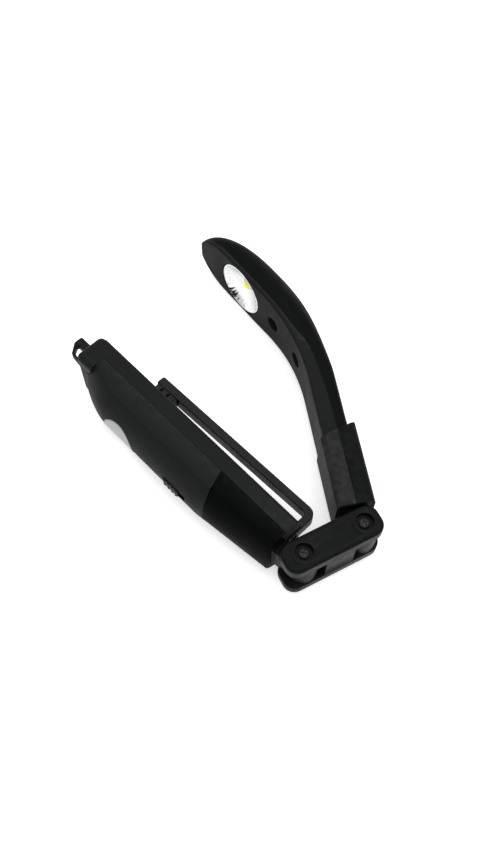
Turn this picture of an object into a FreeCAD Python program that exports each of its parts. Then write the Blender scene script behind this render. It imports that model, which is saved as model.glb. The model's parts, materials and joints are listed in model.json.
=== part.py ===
"""Folding clip-on reading light: flat body with pen clip, two-pivot link and curved LED arm.

Millimetres.  The light lies on its side on the plane z = 0.  +X runs along the body from the
lanyard loop to the pivots, +Y points to the clip side, +Z is up and parallel to both pivots.
The origin is the middle of the body's flat side, on z = 0.
"""
import FreeCAD, Part
import os
from math import asin, cos, degrees, pi, radians, sin, sqrt

V = FreeCAD.Vector
UP = V(0, 0, 1)

# ---- driving dimensions -------------------------------------------------------------
THICK = 25.0                # thickness of body and head, measured along Z
MID_Z = THICK / 2
WALL = 1.6                  # moulded wall
SEAM_GAP = 0.12             # hairline between two moulded parts

BODY_END_X = 52.0           # square end face beside the pivots
BODY_TAIL_X = -51.0         # tail of the belly
NOSE_X = -54.0              # front of the narrow nose
NOSE_ROOT_X = -45.0
NOSE_UNDER_Y = -3.4
NOSE_CORNER = 2.4
CLIP_FACE_Y = 10.0          # edge of the face that carries the clip
CLIP_FACE_CROWN = 1.6
BELLY_Y = -10.5
BELLY_RADIUS = 15.3
TAIL_CURVE_X = -31.0        # where the belly starts to rise to the tail
SEAM_Y = 3.7                # seam between the clip side and the belly side
HOUSING_X = 20.0            # seam between battery cover and end housing, at SEAM_Y
HOUSING_SLANT = 0.3         # that seam leans this much along X per mm of Y
HOUSING_RADIUS = 12.9       # belly radius where the end housing starts
RADIUS_GROWTH = 0.2         # growth of the belly radius per mm towards the end face
CREASE_GROWTH = 0.12        # growth of the crease radius per mm

PIVOT_X = 61.0              # body pivot
PIVOT_Y = 3.4
PIVOT_SPACING = 24.0
LINK_ANGLE = 73.6           # direction from the body pivot to the arm pivot
ARM_ANGLE = 146.0           # direction of the arm's straight stretch

CHEEK = 5.0                 # thickness of each link cheek
LINK_INSET = 1.5            # the link is this much lower than the body on each side
RIM_RISE = 0.25             # rim round each screw, proud of the cheek
LINK_HALF_WIDTH = 6.0
LINK_TAIL = 8.0             # link beyond the body pivot
LINK_NOSE = 6.3             # link beyond the arm pivot
LINK_CORNER = 4.5
WEB_INSET = 0.15            # web between the knuckles, behind the cheek edges
WASHER_R = 4.6
NUT_ACROSS = 4.6
SIDE_PLAY = 0.35            # room for one washer on each side of a knuckle
KNUCKLE_R = 5.7
BUSH_R = 2.5
RUNNING_FIT = 0.05
SCREW_R = 1.25              # M2.5
HEAD_R = 1.95
HEAD_HEIGHT = 1.3
NUT_HEIGHT = 1.35
RECESS_R = 3.4
RECESS_DEPTH = 1.7
RIM_R = 4.3

ARM_START = 7.2             # lower end of the arm, from its pivot
SLEEVE_END = 37.0           # the thicker lower stretch ends here, on a slant
SLEEVE_LEAN = 2.1
ARM_BEND_START = 60.0
ARM_BEND_RADIUS = 80.0
ARM_BEND_ANGLE = 28.0
HEAD_LENGTH = 43.5          # straight face beyond the bend
ARM_FACE = 7.2              # face side of the arm, from the pivot line
ARM_THICK = 10.5
ARM_HALF_WIDTH = 10.5
HEAD_THICK = 15.0
HEAD_HALF_WIDTH = 12.45
DEPTH_TAPER = 30.0          # the head thins over this length at its tip
WIDTH_TAPER = 19.0          # and narrows over this length
LAMP_AT = 16.6              # lamp centre beyond the end of the bend
REFLECTOR_R = 11.7
REFLECTOR_DEPTH = 4.6

CLIP_WIDTH = 6.0
CLIP_THICK = 3.0            # at the heel
CLIP_TIP_THICK = 3.7
CLIP_ROOT_Y = 19.8          # outer side of the clip above the end face
CLIP_TIP_Y = 18.0
CLIP_TIP_X = -28.0
CLIP_SPLIT_X = 45.0         # the springing stretch starts here

CELL_R = 5.25               # AAA
CELL_LENGTH = 44.5
CELL_X = -38.5              # flat ends of the cells
CELL_Y = 0.4
CELL_PITCH = 10.7

SWITCH_X = 9.0
KNOB_LENGTH = 8.0
KNOB_WIDTH = 4.6
SWITCH_TRAVEL = 3.0

parts = {}


# ---- small helpers ------------------------------------------------------------------
def box(x0, x1, y0, y1, z0, z1):
    """Box between two corners."""
    return Part.makeBox(x1 - x0, y1 - y0, z1 - z0, V(x0, y0, z0))


def rod(radius, start, end):
    """Round bar from one point to another."""
    axis = end - start
    return Part.makeCylinder(radius, axis.Length, start, axis)


def post(radius, x, y, z0, z1):
    """Round bar standing along Z."""
    return rod(radius, V(x, y, z0), V(x, y, z1))


def extrude(edges, z0, z1):
    """Prism of a closed outline of edges that lies at z = 0."""
    face = Part.Face(Part.Wire(Part.__sortEdges__(edges)))
    face.translate(V(0, 0, z0))
    return face.extrude(V(0, 0, z1 - z0))


def polygon(points, z0, z1):
    """Prism over a closed polygon of (x, y) points."""
    wire = Part.makePolygon([V(x, y, 0) for x, y in points + points[:1]])
    return extrude(wire.Edges, z0, z1)


def arc(start, middle, end):
    """Arc through three points."""
    return Part.Arc(start, middle, end).toShape()


def line(start, end):
    """Straight edge between two points."""
    return Part.LineSegment(start, end).toShape()


def soften(shape, radius, chosen):
    """Round the edges of a shape that the test picks."""
    edges = [edge for edge in shape.Edges if chosen(edge)]
    return shape.makeFillet(radius, edges)


def upright(edge):
    """True for an edge that runs along Z."""
    if edge.Curve.TypeId != "Part::GeomLine":
        return False
    return abs(edge.tangentAt(edge.FirstParameter).z) > 0.999


def group(shapes):
    """Several solids kept as one piece."""
    return Part.makeCompound(shapes)


def placed(shape, pivot, angle):
    """Turn a shape about Z at the origin, then carry it to its pivot."""
    moved = shape.copy()
    moved.rotate(V(0, 0, 0), UP, angle)
    moved.translate(pivot)
    return moved


body_pivot = V(PIVOT_X, PIVOT_Y, 0)
link_way = V(cos(radians(LINK_ANGLE)), sin(radians(LINK_ANGLE)), 0)
arm_pivot = body_pivot + link_way * PIVOT_SPACING


# ---- body ---------------------------------------------------------------------------
def belly_at(x):
    """Y of the belly's lowest line."""
    if x < TAIL_CURVE_X:
        return BELLY_Y + 7.5 * ((TAIL_CURVE_X - x) / (TAIL_CURVE_X - BODY_TAIL_X)) ** 1.6
    if x > HOUSING_X:
        return BELLY_Y + 4.0 * (x - HOUSING_X) / (BODY_END_X - HOUSING_X)
    return BELLY_Y


def body_section(x, inset, belly_radius, crease):
    """Closed section across X: crowned clip face, flat sides, round belly."""
    half = MID_Z - inset
    top = CLIP_FACE_Y - inset
    corner = 1.6
    circle_r = belly_radius - inset
    crease_r = max(crease - inset, 0.5)
    low = belly_at(x) + inset
    centre = low + circle_r
    reach = circle_r - crease_r
    side = half - crease_r
    flat_end = centre - sqrt(reach ** 2 - side ** 2)
    touch_y = centre - (centre - flat_end) * circle_r / reach
    touch_z = side * circle_r / reach
    mid_angle = (pi / 2 + asin(side / reach)) / 2
    soft = corner * (1 - cos(pi / 4))

    def at(y, z):
        return V(x, y, MID_Z + z)

    def crease_mid(sign):
        return at(flat_end - crease_r * cos(mid_angle), sign * (side + crease_r * sin(mid_angle)))

    edges = [
        arc(at(top, corner - half), at(top + CLIP_FACE_CROWN, 0), at(top, half - corner)),
        arc(at(top, half - corner), at(top - soft, half - soft), at(top - corner, half)),
        line(at(top - corner, half), at(flat_end, half)),
        arc(at(flat_end, half), crease_mid(1), at(touch_y, touch_z)),
        arc(at(touch_y, touch_z), at(low, 0), at(touch_y, -touch_z)),
        arc(at(touch_y, -touch_z), crease_mid(-1), at(flat_end, -half)),
        line(at(flat_end, -half), at(top - corner, -half)),
        arc(at(top - corner, -half), at(top - soft, soft - half), at(top, corner - half)),
    ]
    return Part.Wire(edges)


def body_form(stations, inset=0.0):
    """Solid through sections at (x, belly radius, crease radius)."""
    wires = [body_section(x, inset, radius, crease) for x, radius, crease in stations]
    return Part.makeLoft(wires, True, True)


def main_stations(start, end):
    """Stations of the long stretch, close together where the tail curves."""
    steps = 6
    tail = [start + (TAIL_CURVE_X - start) * i / steps for i in range(steps)]
    return [(x, BELLY_RADIUS, 2.0) for x in tail + [TAIL_CURVE_X, HOUSING_X, end]]


def housing_stations(start, end):
    """Stations of the end housing, whose belly flattens towards the end face."""
    steps = 5
    places = [start + (end - start) * i / steps for i in range(steps + 1)]
    return [(x, HOUSING_RADIUS + RADIUS_GROWTH * (x - start), 3.0 + CREASE_GROWTH * (x - start))
            for x in places]


nose = soften(box(NOSE_X, NOSE_ROOT_X + 4, NOSE_UNDER_Y, CLIP_FACE_Y, 0, THICK), NOSE_CORNER,
              lambda e: e.BoundBox.XMax < NOSE_X + 0.1 or abs(e.BoundBox.ZLength) < 0.1
              and e.BoundBox.XLength > 5)
nose_hollow = box(NOSE_X + 2.2, NOSE_ROOT_X + 4, NOSE_UNDER_Y + WALL, CLIP_FACE_Y - WALL - 0.6,
                  3.0, THICK - 3.0)
main_form = body_form(main_stations(BODY_TAIL_X, BODY_END_X))
housing_form = body_form(housing_stations(HOUSING_X - 3, BODY_END_X))
main_hollow = body_form(main_stations(BODY_TAIL_X + 2.2, HOUSING_X + 8), WALL)
housing_hollow = body_form(housing_stations(HOUSING_X - 3, BODY_END_X - 2), WALL)

wide = 40.0
seam_far = HOUSING_X + HOUSING_SLANT * (SEAM_Y + wide)


def slanted(offset, before):
    """Space before or after the slanted seam between battery cover and end housing."""
    high = V(HOUSING_X + offset, SEAM_Y, 0)
    low = V(seam_far + offset, -wide, 0)
    reach = -100 if before else 100
    return polygon([(high.x, SEAM_Y), (low.x, -wide), (reach, -wide), (reach, SEAM_Y)],
                   -5, THICK + 5)


clip_side_space = box(NOSE_ROOT_X, 60, SEAM_Y, wide, -5, THICK + 5).fuse(
    box(-70, NOSE_ROOT_X, NOSE_UNDER_Y, wide, -5, THICK + 5))
cover_space = slanted(-SEAM_GAP, True).cut(
    box(-110, NOSE_ROOT_X + SEAM_GAP, NOSE_UNDER_Y - SEAM_GAP, wide, -6, THICK + 6))
cover_space.translate(V(0, -SEAM_GAP, 0))
housing_space = slanted(0, False)
housing_space.translate(V(0, -SEAM_GAP, 0))

clip_side_form = main_form.fuse(nose)

# the slot that takes the foot of the clip, and the wall behind it
foot_slot = box(BODY_END_X - CLIP_THICK, BODY_END_X + 5, SEAM_Y + 1.0, wide,
                MID_Z - CLIP_WIDTH / 2, MID_Z + CLIP_WIDTH / 2)
foot_wall = box(BODY_END_X - CLIP_THICK - 3.4, BODY_END_X - 0.4, SEAM_Y, CLIP_FACE_Y,
                MID_Z - CLIP_WIDTH / 2 - 2, MID_Z + CLIP_WIDTH / 2 + 2)

shell = clip_side_form.common(clip_side_space)
for hollow in (main_hollow, housing_hollow, nose_hollow):
    shell = shell.cut(hollow)
shell = shell.fuse(foot_wall.common(clip_side_form)).cut(foot_slot)
clip_screw_x = BODY_END_X - CLIP_THICK
clip_screw_y = 7.4
shell = shell.cut(rod(SCREW_R - 0.2, V(clip_screw_x - 3.6, clip_screw_y, MID_Z),
                      V(clip_screw_x, clip_screw_y, MID_Z)))
parts["clip_side_shell"] = shell

knob_slot = box(SWITCH_X - (KNOB_LENGTH + SWITCH_TRAVEL) / 2 - 0.4,
                SWITCH_X + (KNOB_LENGTH + SWITCH_TRAVEL) / 2 + 0.4, -wide, -5,
                MID_Z - KNOB_WIDTH / 2 - 0.2, MID_Z + KNOB_WIDTH / 2 + 0.2)
cover = main_form.common(cover_space).cut(main_hollow).cut(knob_slot)
parts["battery_cover"] = cover

housing = housing_form.common(housing_space).cut(housing_hollow)
PLUG_LOW_Y = -2.9
PLUG_HALF = 7.2
housing = housing.cut(box(BODY_END_X - 2.5, 60, PLUG_LOW_Y, 12, MID_Z - PLUG_HALF,
                          MID_Z + PLUG_HALF))
parts["end_housing"] = housing

# ---- clip ---------------------------------------------------------------------------
clip_low = MID_Z - CLIP_WIDTH / 2
clip_high = MID_Z + CLIP_WIDTH / 2


def clip_outer(x):
    """Y of the clip's outer side."""
    return CLIP_TIP_Y + (CLIP_ROOT_Y - CLIP_TIP_Y) * (x - CLIP_TIP_X) / (BODY_END_X - CLIP_TIP_X)


def clip_inner(x):
    """Y of the clip's inner side, which closes on the body towards the tip."""
    share = (BODY_END_X - x) / (BODY_END_X - CLIP_TIP_X)
    return clip_outer(x) - CLIP_THICK - (CLIP_TIP_THICK - CLIP_THICK) * share


heel = BODY_END_X + 0.5
foot_y = SEAM_Y + 1.2
root = polygon([(CLIP_SPLIT_X, clip_outer(CLIP_SPLIT_X)), (heel, CLIP_ROOT_Y), (heel, foot_y),
                (heel - CLIP_THICK, foot_y), (heel - CLIP_THICK, CLIP_ROOT_Y - CLIP_THICK),
                (CLIP_SPLIT_X, clip_inner(CLIP_SPLIT_X))], clip_low, clip_high)
root = soften(root, 3.6, lambda e: upright(e) and e.BoundBox.XMin > heel - 0.1
              and e.BoundBox.YMin > 15)
root = soften(root, 1.4, lambda e: upright(e) and abs(e.BoundBox.XMin - heel + CLIP_THICK) < 0.1
              and e.BoundBox.YMin > 15)
clip_bore = rod(SCREW_R + 0.1, V(heel - 9, clip_screw_y, MID_Z), V(heel + 1, clip_screw_y, MID_Z))
clip_sink = rod(HEAD_R + 0.15, V(heel - 1.4, clip_screw_y, MID_Z), V(heel + 1, clip_screw_y, MID_Z))
parts["clip_root"] = root.cut(clip_bore).cut(clip_sink)

clip_arm = polygon([(CLIP_SPLIT_X, clip_outer(CLIP_SPLIT_X)), (CLIP_TIP_X, CLIP_TIP_Y),
                    (CLIP_TIP_X, clip_inner(CLIP_TIP_X)),
                    (CLIP_SPLIT_X, clip_inner(CLIP_SPLIT_X))], clip_low, clip_high)
PAD_REACH = CLIP_FACE_Y + CLIP_FACE_CROWN + 0.15
TOOTH_PITCH = 3.4
TOOTH_COUNT = 3
tooth_root = CLIP_TIP_Y - CLIP_TIP_THICK + 0.4
for index in range(TOOTH_COUNT):
    tooth_x = CLIP_TIP_X + 2.4 + index * TOOTH_PITCH
    tooth = polygon([(tooth_x - 1.7, tooth_root), (tooth_x - 1.3, PAD_REACH),
                     (tooth_x + 0.3, PAD_REACH), (tooth_x + 1.7, tooth_root)],
                    clip_low, clip_high)
    clip_arm = clip_arm.fuse(tooth)
parts["clip_arm"] = clip_arm.removeSplitter()
parts["clip_screw"] = rod(SCREW_R - 0.2, V(heel - 5.8, clip_screw_y, MID_Z),
                          V(heel - 1.2, clip_screw_y, MID_Z)).fuse(
    rod(HEAD_R, V(heel - 1.4, clip_screw_y, MID_Z), V(heel - 0.1, clip_screw_y, MID_Z)))

# ---- lanyard loop -------------------------------------------------------------------
LOOP_TIP_X = -64.8
LOOP_HALF = 1.7
loop_outer = polygon([(NOSE_X, 6.9), (LOOP_TIP_X, 6.9), (LOOP_TIP_X, 3.2),
                      (-61.5, -0.9), (NOSE_X, -1.6)], MID_Z - LOOP_HALF, MID_Z + LOOP_HALF)
loop_hole = polygon([(NOSE_X - 0.9, 3.6), (LOOP_TIP_X + 1.2, 3.6), (-61.2, 0.1),
                     (NOSE_X - 0.9, -0.5)], 0, THICK)
parts["lanyard_loop"] = soften(loop_outer.cut(loop_hole), 0.5,
                               lambda e: upright(e) and e.BoundBox.XMax < NOSE_X - 0.5)

# ---- badge on the belly -------------------------------------------------------------
BADGE_X = -22.5
BADGE_Z = MID_Z - 2.0
BADGE_R = 8.2
badge_column = rod(BADGE_R, V(BADGE_X, -wide, BADGE_Z), V(BADGE_X, BELLY_Y + 7, BADGE_Z))
badge_skin = body_form(main_stations(BODY_TAIL_X, BODY_END_X), -0.15)
parts["round_badge"] = badge_skin.common(badge_column).cut(main_form)

# ---- power --------------------------------------------------------------------------
cell_high = CELL_X + CELL_LENGTH
NUB = 1.0                   # raised contact at one end of a cell


def cell(z, nub_forward):
    """One cell, with its raised contact at one end."""
    can_low = CELL_X if nub_forward else CELL_X + NUB
    can = rod(CELL_R, V(can_low, CELL_Y, z), V(can_low + CELL_LENGTH - NUB, CELL_Y, z))
    nub_x = cell_high - NUB if nub_forward else CELL_X
    return can.fuse(rod(1.9, V(nub_x, CELL_Y, z), V(nub_x + NUB, CELL_Y, z)))


upper_z = MID_Z + CELL_PITCH / 2
lower_z = MID_Z - CELL_PITCH / 2
parts["upper_cell"] = cell(upper_z, True)
parts["lower_cell"] = cell(lower_z, False)

PLATE = 0.4
TURNS = 4
TURN_RISE = 0.9
WIRE_R = 0.35
COIL_R = 3.3
COIL_TAPER = 0.4
SPRING_LENGTH = 2 * WIRE_R + (TURNS - 1) * TURN_RISE


def contact_spring(z, x, way):
    """Conical contact coil as its stack of turns, joined turn to turn."""
    centre = V(x + way * WIRE_R, CELL_Y, z)
    coil = Part.makeTorus(COIL_R, WIRE_R, centre, V(1, 0, 0))
    for index in range(1, TURNS):
        ring_r = COIL_R - COIL_TAPER * index
        place = centre + V(way * TURN_RISE * index, 0, 0)
        below = place + V(-way * TURN_RISE, -ring_r - COIL_TAPER, 0)
        coil = coil.fuse(Part.makeTorus(ring_r, WIRE_R, place, V(1, 0, 0)))
        coil = coil.fuse(rod(WIRE_R - 0.05, below, place + V(0, -ring_r, 0)))
    return coil


def contact_plate(x, z):
    """Flat contact across one cell."""
    return box(x, x + PLATE, CELL_Y - 2.6, CELL_Y + 4.2, z - 3.9, z + 3.9)


tail_back = CELL_X - SPRING_LENGTH - PLATE
front_back = cell_high + SPRING_LENGTH
bridge = box(tail_back, CELL_X, CELL_Y - 2.6, CELL_Y + 4.2, MID_Z - 0.3, MID_Z + 0.3)
tail_strip = box(CELL_X - PLATE, CELL_X, CELL_Y - 2.6, CELL_Y + 4.2, lower_z, MID_Z)
tail_back_strip = box(tail_back, tail_back + PLATE, CELL_Y - 2.6, CELL_Y + 4.2, MID_Z, upper_z)
parts["tail_contact"] = contact_plate(tail_back, upper_z).fuse(bridge).fuse(tail_strip).fuse(
    tail_back_strip).fuse(contact_plate(CELL_X - PLATE, lower_z)).removeSplitter()
parts["front_contacts"] = group([contact_plate(cell_high, upper_z),
                                 contact_plate(front_back, lower_z)])
parts["tail_spring"] = contact_spring(upper_z, tail_back + PLATE, 1)
parts["front_spring"] = contact_spring(lower_z, front_back, -1)

TRAY_TOP = CLIP_FACE_Y - WALL
saddle = box(CELL_X + 2, cell_high - 2, CELL_Y + 1.4, TRAY_TOP, 3.6, THICK - 3.6)
for z in (lower_z, upper_z):
    saddle = saddle.cut(rod(CELL_R + 0.1, V(CELL_X, CELL_Y, z), V(cell_high, CELL_Y, z)))
tray_back = tail_back - 1.2
tray_front = front_back + PLATE + 1.2
tail_wall = box(tray_back, tail_back, CELL_Y - 1.6, TRAY_TOP, 3.6, THICK - 3.6)
front_wall = box(front_back + PLATE, tray_front, CELL_Y - 2.6, TRAY_TOP, 3.6, THICK - 3.6)
tray_floor = box(tray_back, tray_front, TRAY_TOP - 1.0, TRAY_TOP, 3.6, THICK - 3.6)
parts["battery_tray"] = saddle.fuse(tray_floor).fuse(tail_wall).fuse(front_wall).removeSplitter()

# ---- slide switch -------------------------------------------------------------------
switch_deep = -4.9
switch_low = BELLY_Y + WALL + 0.5
switch_well = box(SWITCH_X + 1.4, SWITCH_X + 6.2, switch_low - 1, switch_low + 1.6,
                  MID_Z - 1.2, MID_Z + 1.2)
parts["switch_case"] = box(SWITCH_X - 1.4, SWITCH_X + 8.6, switch_low, switch_deep,
                           MID_Z - 3.0, MID_Z + 3.0).cut(switch_well)
KNOB_RISE = 0.35            # the knob stands this far out of the belly
RIB_R = 0.3
RIB_COUNT = 4
RIB_PITCH = 2.0
knob_face = BELLY_Y - KNOB_RISE
knob = box(SWITCH_X - KNOB_LENGTH / 2, SWITCH_X + KNOB_LENGTH / 2, knob_face,
           switch_low - 0.15, MID_Z - KNOB_WIDTH / 2, MID_Z + KNOB_WIDTH / 2)
for index in range(RIB_COUNT):
    rib_x = SWITCH_X + RIB_PITCH * (index - (RIB_COUNT - 1) / 2)
    knob = knob.fuse(rod(RIB_R, V(rib_x, knob_face, MID_Z - KNOB_WIDTH / 2),
                         V(rib_x, knob_face, MID_Z + KNOB_WIDTH / 2)))
knob.translate(V(-SWITCH_TRAVEL / 2, 0, 0))
finger = box(SWITCH_X + 1.6, SWITCH_X + 2.7, switch_low - 0.2, switch_low + 1.3,
             MID_Z - 1.0, MID_Z + 1.0)
parts["switch_knob"] = knob.fuse(finger).removeSplitter()

# ---- driver board -------------------------------------------------------------------
board_y = -0.4
board_x0 = tray_front + 0.6
board_x1 = 42.0
parts["driver_board"] = box(board_x0, board_x1, board_y, board_y + 1.0, 4.0, THICK - 4.0)
parts["driver_coil"] = post(2.6, 0, 0, 0, 2.2)
parts["driver_coil"].rotate(V(0, 0, 0), V(1, 0, 0), -90)
parts["driver_coil"].translate(V(25.0, board_y + 1.0, 8.6))
parts["driver_chip"] = box(30.0, 34.9, board_y + 1.0, board_y + 2.5, 7.0, 10.9)
parts["driver_capacitor"] = rod(2.5, V(31.0, board_y + 3.5, 14.2), V(31.0, board_y + 3.5, 20.2))

# ---- pivots -------------------------------------------------------------------------
knuckle_low = LINK_INSET + CHEEK + SIDE_PLAY
knuckle_high = THICK - knuckle_low
BUSH_SEAT = LINK_INSET + CHEEK - 1.6
nut_seat = LINK_INSET - RIM_RISE + RECESS_DEPTH
head_seat = THICK - nut_seat


def knuckle(neck_outline, plug):
    """Barrel at the origin with a neck to its plug."""
    neck = polygon(neck_outline, knuckle_low, knuckle_high)
    solid = post(KNUCKLE_R, 0, 0, knuckle_low, knuckle_high).fuse(neck).fuse(plug)
    return solid.cut(post(BUSH_R + RUNNING_FIT, 0, 0, 0, THICK)).removeSplitter()


plug_x0 = BODY_END_X - 2.4 - PIVOT_X
plug_x1 = BODY_END_X + 0.3 - PIVOT_X
plug_y0 = PLUG_LOW_Y - PIVOT_Y
plug_y1 = SEAM_Y - SEAM_GAP - PIVOT_Y
body_plug = box(plug_x0, plug_x1, plug_y0, plug_y1, MID_Z - PLUG_HALF, MID_Z + PLUG_HALF)
body_neck = [(plug_x0, plug_y0), (0, -5.0), (0, 5.0), (-4.0, 5.0), (-8.2, plug_y1),
             (plug_x0, plug_y1)]
body_knuckle = knuckle(body_neck, body_plug)
body_knuckle.translate(body_pivot)
parts["body_knuckle"] = body_knuckle

SLEEVE_BACK = -5.9
SLEEVE_FACE = ARM_FACE + 0.8
SLEEVE_WALL = 1.8
SLEEVE_Z = MID_Z - 11.5
arm_plug = box(ARM_START + 0.2, ARM_START + 5.0, SLEEVE_BACK + SLEEVE_WALL,
               SLEEVE_FACE - SLEEVE_WALL, SLEEVE_Z + SLEEVE_WALL, THICK - SLEEVE_Z - SLEEVE_WALL)
arm_neck = [(0, -4.0), (ARM_START + 4, -4.0), (ARM_START + 4, 4.4), (0, 4.4)]
parts["arm_knuckle"] = placed(knuckle(arm_neck, arm_plug), arm_pivot, ARM_ANGLE)


def link_half(low, high, web_end, outer_sign):
    """One cheek with its half of the web between the two knuckles."""
    block = box(-LINK_TAIL, PIVOT_SPACING + LINK_NOSE, -LINK_HALF_WIDTH, LINK_HALF_WIDTH,
                low, high)
    block = soften(block, LINK_CORNER, upright)
    outer_z = high if outer_sign > 0 else low
    block = soften(block, 1.1, lambda e: abs(e.BoundBox.ZMin - outer_z) < 0.01
                   and abs(e.BoundBox.ZMax - outer_z) < 0.01)
    web_half = PIVOT_SPACING / 2 - KNUCKLE_R - 0.6
    web = box(PIVOT_SPACING / 2 - web_half, PIVOT_SPACING / 2 + web_half,
              WEB_INSET - LINK_HALF_WIDTH, LINK_HALF_WIDTH - WEB_INSET,
              min(low, web_end), max(high, web_end))
    block = block.fuse(web)
    for x in (0, PIVOT_SPACING):
        block = block.cut(post(SCREW_R + 0.15, x, 0, 0, THICK))
        seat = BUSH_SEAT if outer_sign < 0 else THICK - BUSH_SEAT
        inner_z = high if outer_sign < 0 else low
        block = block.cut(post(BUSH_R, x, 0, min(seat, inner_z), max(seat, inner_z)))
        end_z = outer_z + outer_sign * RIM_RISE
        floor_z = end_z - outer_sign * RECESS_DEPTH
        block = block.fuse(post(RIM_R, x, 0, min(outer_z, end_z), max(outer_z, end_z)))
        block = block.cut(post(RECESS_R, x, 0, min(end_z, floor_z), max(end_z, floor_z)))
    return block.removeSplitter()


cheek_top = THICK - LINK_INSET
parts["link_top"] = placed(link_half(cheek_top - CHEEK, cheek_top, MID_Z + 0.05, 1),
                           body_pivot, LINK_ANGLE)
parts["link_bottom"] = placed(link_half(LINK_INSET, LINK_INSET + CHEEK, MID_Z - 0.05, -1),
                              body_pivot, LINK_ANGLE)


def hexagon(across, x, y, z0, z1):
    """Hexagonal prism, measured across its flats."""
    corner = across / sqrt(3)
    points = [(x + corner * cos(radians(60 * i)), y + corner * sin(radians(60 * i)))
              for i in range(6)]
    return polygon(points, z0, z1)


for name, pivot in (("body_pivot", body_pivot), ("arm_pivot", arm_pivot)):
    x, y = pivot.x, pivot.y
    bush = post(BUSH_R, x, y, BUSH_SEAT, THICK - BUSH_SEAT)
    parts[name + "_bush"] = bush.cut(post(SCREW_R + 0.15, x, y, 0, THICK))
    head = soften(post(HEAD_R, x, y, head_seat, head_seat + HEAD_HEIGHT), 0.5,
                  lambda e: e.BoundBox.ZMin > head_seat + HEAD_HEIGHT - 0.1)
    slots = box(x - 1.1, x + 1.1, y - 0.2, y + 0.2, head_seat + 0.8, head_seat + 2)
    slots = slots.fuse(box(x - 0.2, x + 0.2, y - 1.1, y + 1.1, head_seat + 0.8, head_seat + 2))
    shank = post(SCREW_R, x, y, nut_seat - NUT_HEIGHT - 0.05, head_seat)
    parts[name + "_screw"] = head.cut(slots).fuse(shank).removeSplitter()
    nut = hexagon(NUT_ACROSS, x, y, nut_seat - NUT_HEIGHT, nut_seat)
    parts[name + "_nut"] = nut.cut(post(SCREW_R, x, y, 0, THICK))
    washers = []
    for z0 in (LINK_INSET + CHEEK, THICK - LINK_INSET - CHEEK - SIDE_PLAY + 0.05):
        washer = post(WASHER_R, x, y, z0, z0 + SIDE_PLAY - 0.05)
        washers.append(washer.cut(post(BUSH_R + RUNNING_FIT, x, y, 0, THICK)))
    parts[name + "_washers"] = group(washers)


# ---- arm and head -------------------------------------------------------------------
bend = radians(ARM_BEND_ANGLE)
bend_length = ARM_BEND_RADIUS * bend
bend_end = V(ARM_BEND_START + ARM_BEND_RADIUS * sin(bend),
             ARM_FACE + ARM_BEND_RADIUS * (1 - cos(bend)), 0)
face_length = (ARM_BEND_START - ARM_START) + bend_length + HEAD_LENGTH


def face_point(run):
    """Point on the face line and its direction, a length after the arm's lower end."""
    straight = ARM_BEND_START - ARM_START
    if run <= straight:
        return V(ARM_START + run, ARM_FACE, 0), 0.0
    if run <= straight + bend_length:
        turn = (run - straight) / ARM_BEND_RADIUS
        return V(ARM_BEND_START + ARM_BEND_RADIUS * sin(turn),
                 ARM_FACE + ARM_BEND_RADIUS * (1 - cos(turn)), 0), turn
    rest = run - straight - bend_length
    return bend_end + V(cos(bend), sin(bend), 0) * rest, bend


def blend(value, start, end):
    """Smooth step from 0 to 1."""
    share = min(max((value - start) / (end - start), 0.0), 1.0)
    return share * share * (3 - 2 * share)


def arm_thickness(run):
    """Depth of the arm from face to back."""
    swell = ARM_THICK + (HEAD_THICK - ARM_THICK) * blend(run, 60, 98)
    to_tip = face_length - run
    if to_tip < DEPTH_TAPER:
        return swell * sqrt(max(1 - ((DEPTH_TAPER - to_tip) / (DEPTH_TAPER + 0.6)) ** 2, 0.0))
    return swell


def arm_half_width(run):
    """Half of the arm's width along Z."""
    swell = ARM_HALF_WIDTH + (HEAD_HALF_WIDTH - ARM_HALF_WIDTH) * blend(run, 66, 98)
    to_tip = face_length - run
    if to_tip < WIDTH_TAPER:
        return swell * sqrt(max(1 - ((WIDTH_TAPER - to_tip) / (WIDTH_TAPER + 0.3)) ** 2.4, 0.0))
    return swell


def arm_section(run, inset):
    """Closed section: flat face, short sides, domed back."""
    origin, turn = face_point(run)
    depth = arm_thickness(run) - 2 * inset
    half = arm_half_width(run) - inset
    inward = V(-sin(turn), cos(turn), 0)
    dome = blend(run, 55, 95)
    side = depth * (0.72 - 0.47 * dome)
    shoulder = half * (0.28 + 0.60 * dome)
    rim = min(1.0, 0.2 * half, 0.15 * depth)

    def at(rise, z):
        return origin - inward * (inset + rise) + V(0, 0, MID_Z + z)

    def quarter(sign):
        bulge = 0.5523
        start, end = at(side, sign * half), at(depth, sign * (half - shoulder))
        pole_a = at(side + (depth - side) * bulge, sign * half)
        pole_b = at(depth, sign * (half - shoulder * (1 - bulge)))
        curve = Part.BezierCurve()
        curve.setPoles([start, pole_a, pole_b, end])
        return curve.toShape()

    soft = rim * (1 - cos(pi / 4))
    edges = [
        line(at(0, rim - half), at(0, half - rim)),
        arc(at(0, half - rim), at(soft, half - soft), at(rim, half)),
        line(at(rim, half), at(side, half)),
        quarter(1),
        line(at(depth, half - shoulder), at(depth, shoulder - half)),
        quarter(-1),
        line(at(side, -half), at(rim, -half)),
        arc(at(rim, -half), at(soft, soft - half), at(0, rim - half)),
    ]
    return Part.Wire(Part.__sortEdges__(edges))


def arm_form(runs, inset=0.0):
    """Solid through the arm's sections."""
    return Part.makeLoft([arm_section(run, inset) for run in runs], True, True)


def arm_runs(start, end):
    """Stations that close up towards the tip."""
    middle = [53 + 4.5 * i for i in range(11)]
    tip = [102 + (end - 102) * sin(radians(15 * i)) for i in range(7)]
    return [start] + middle + tip


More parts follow.
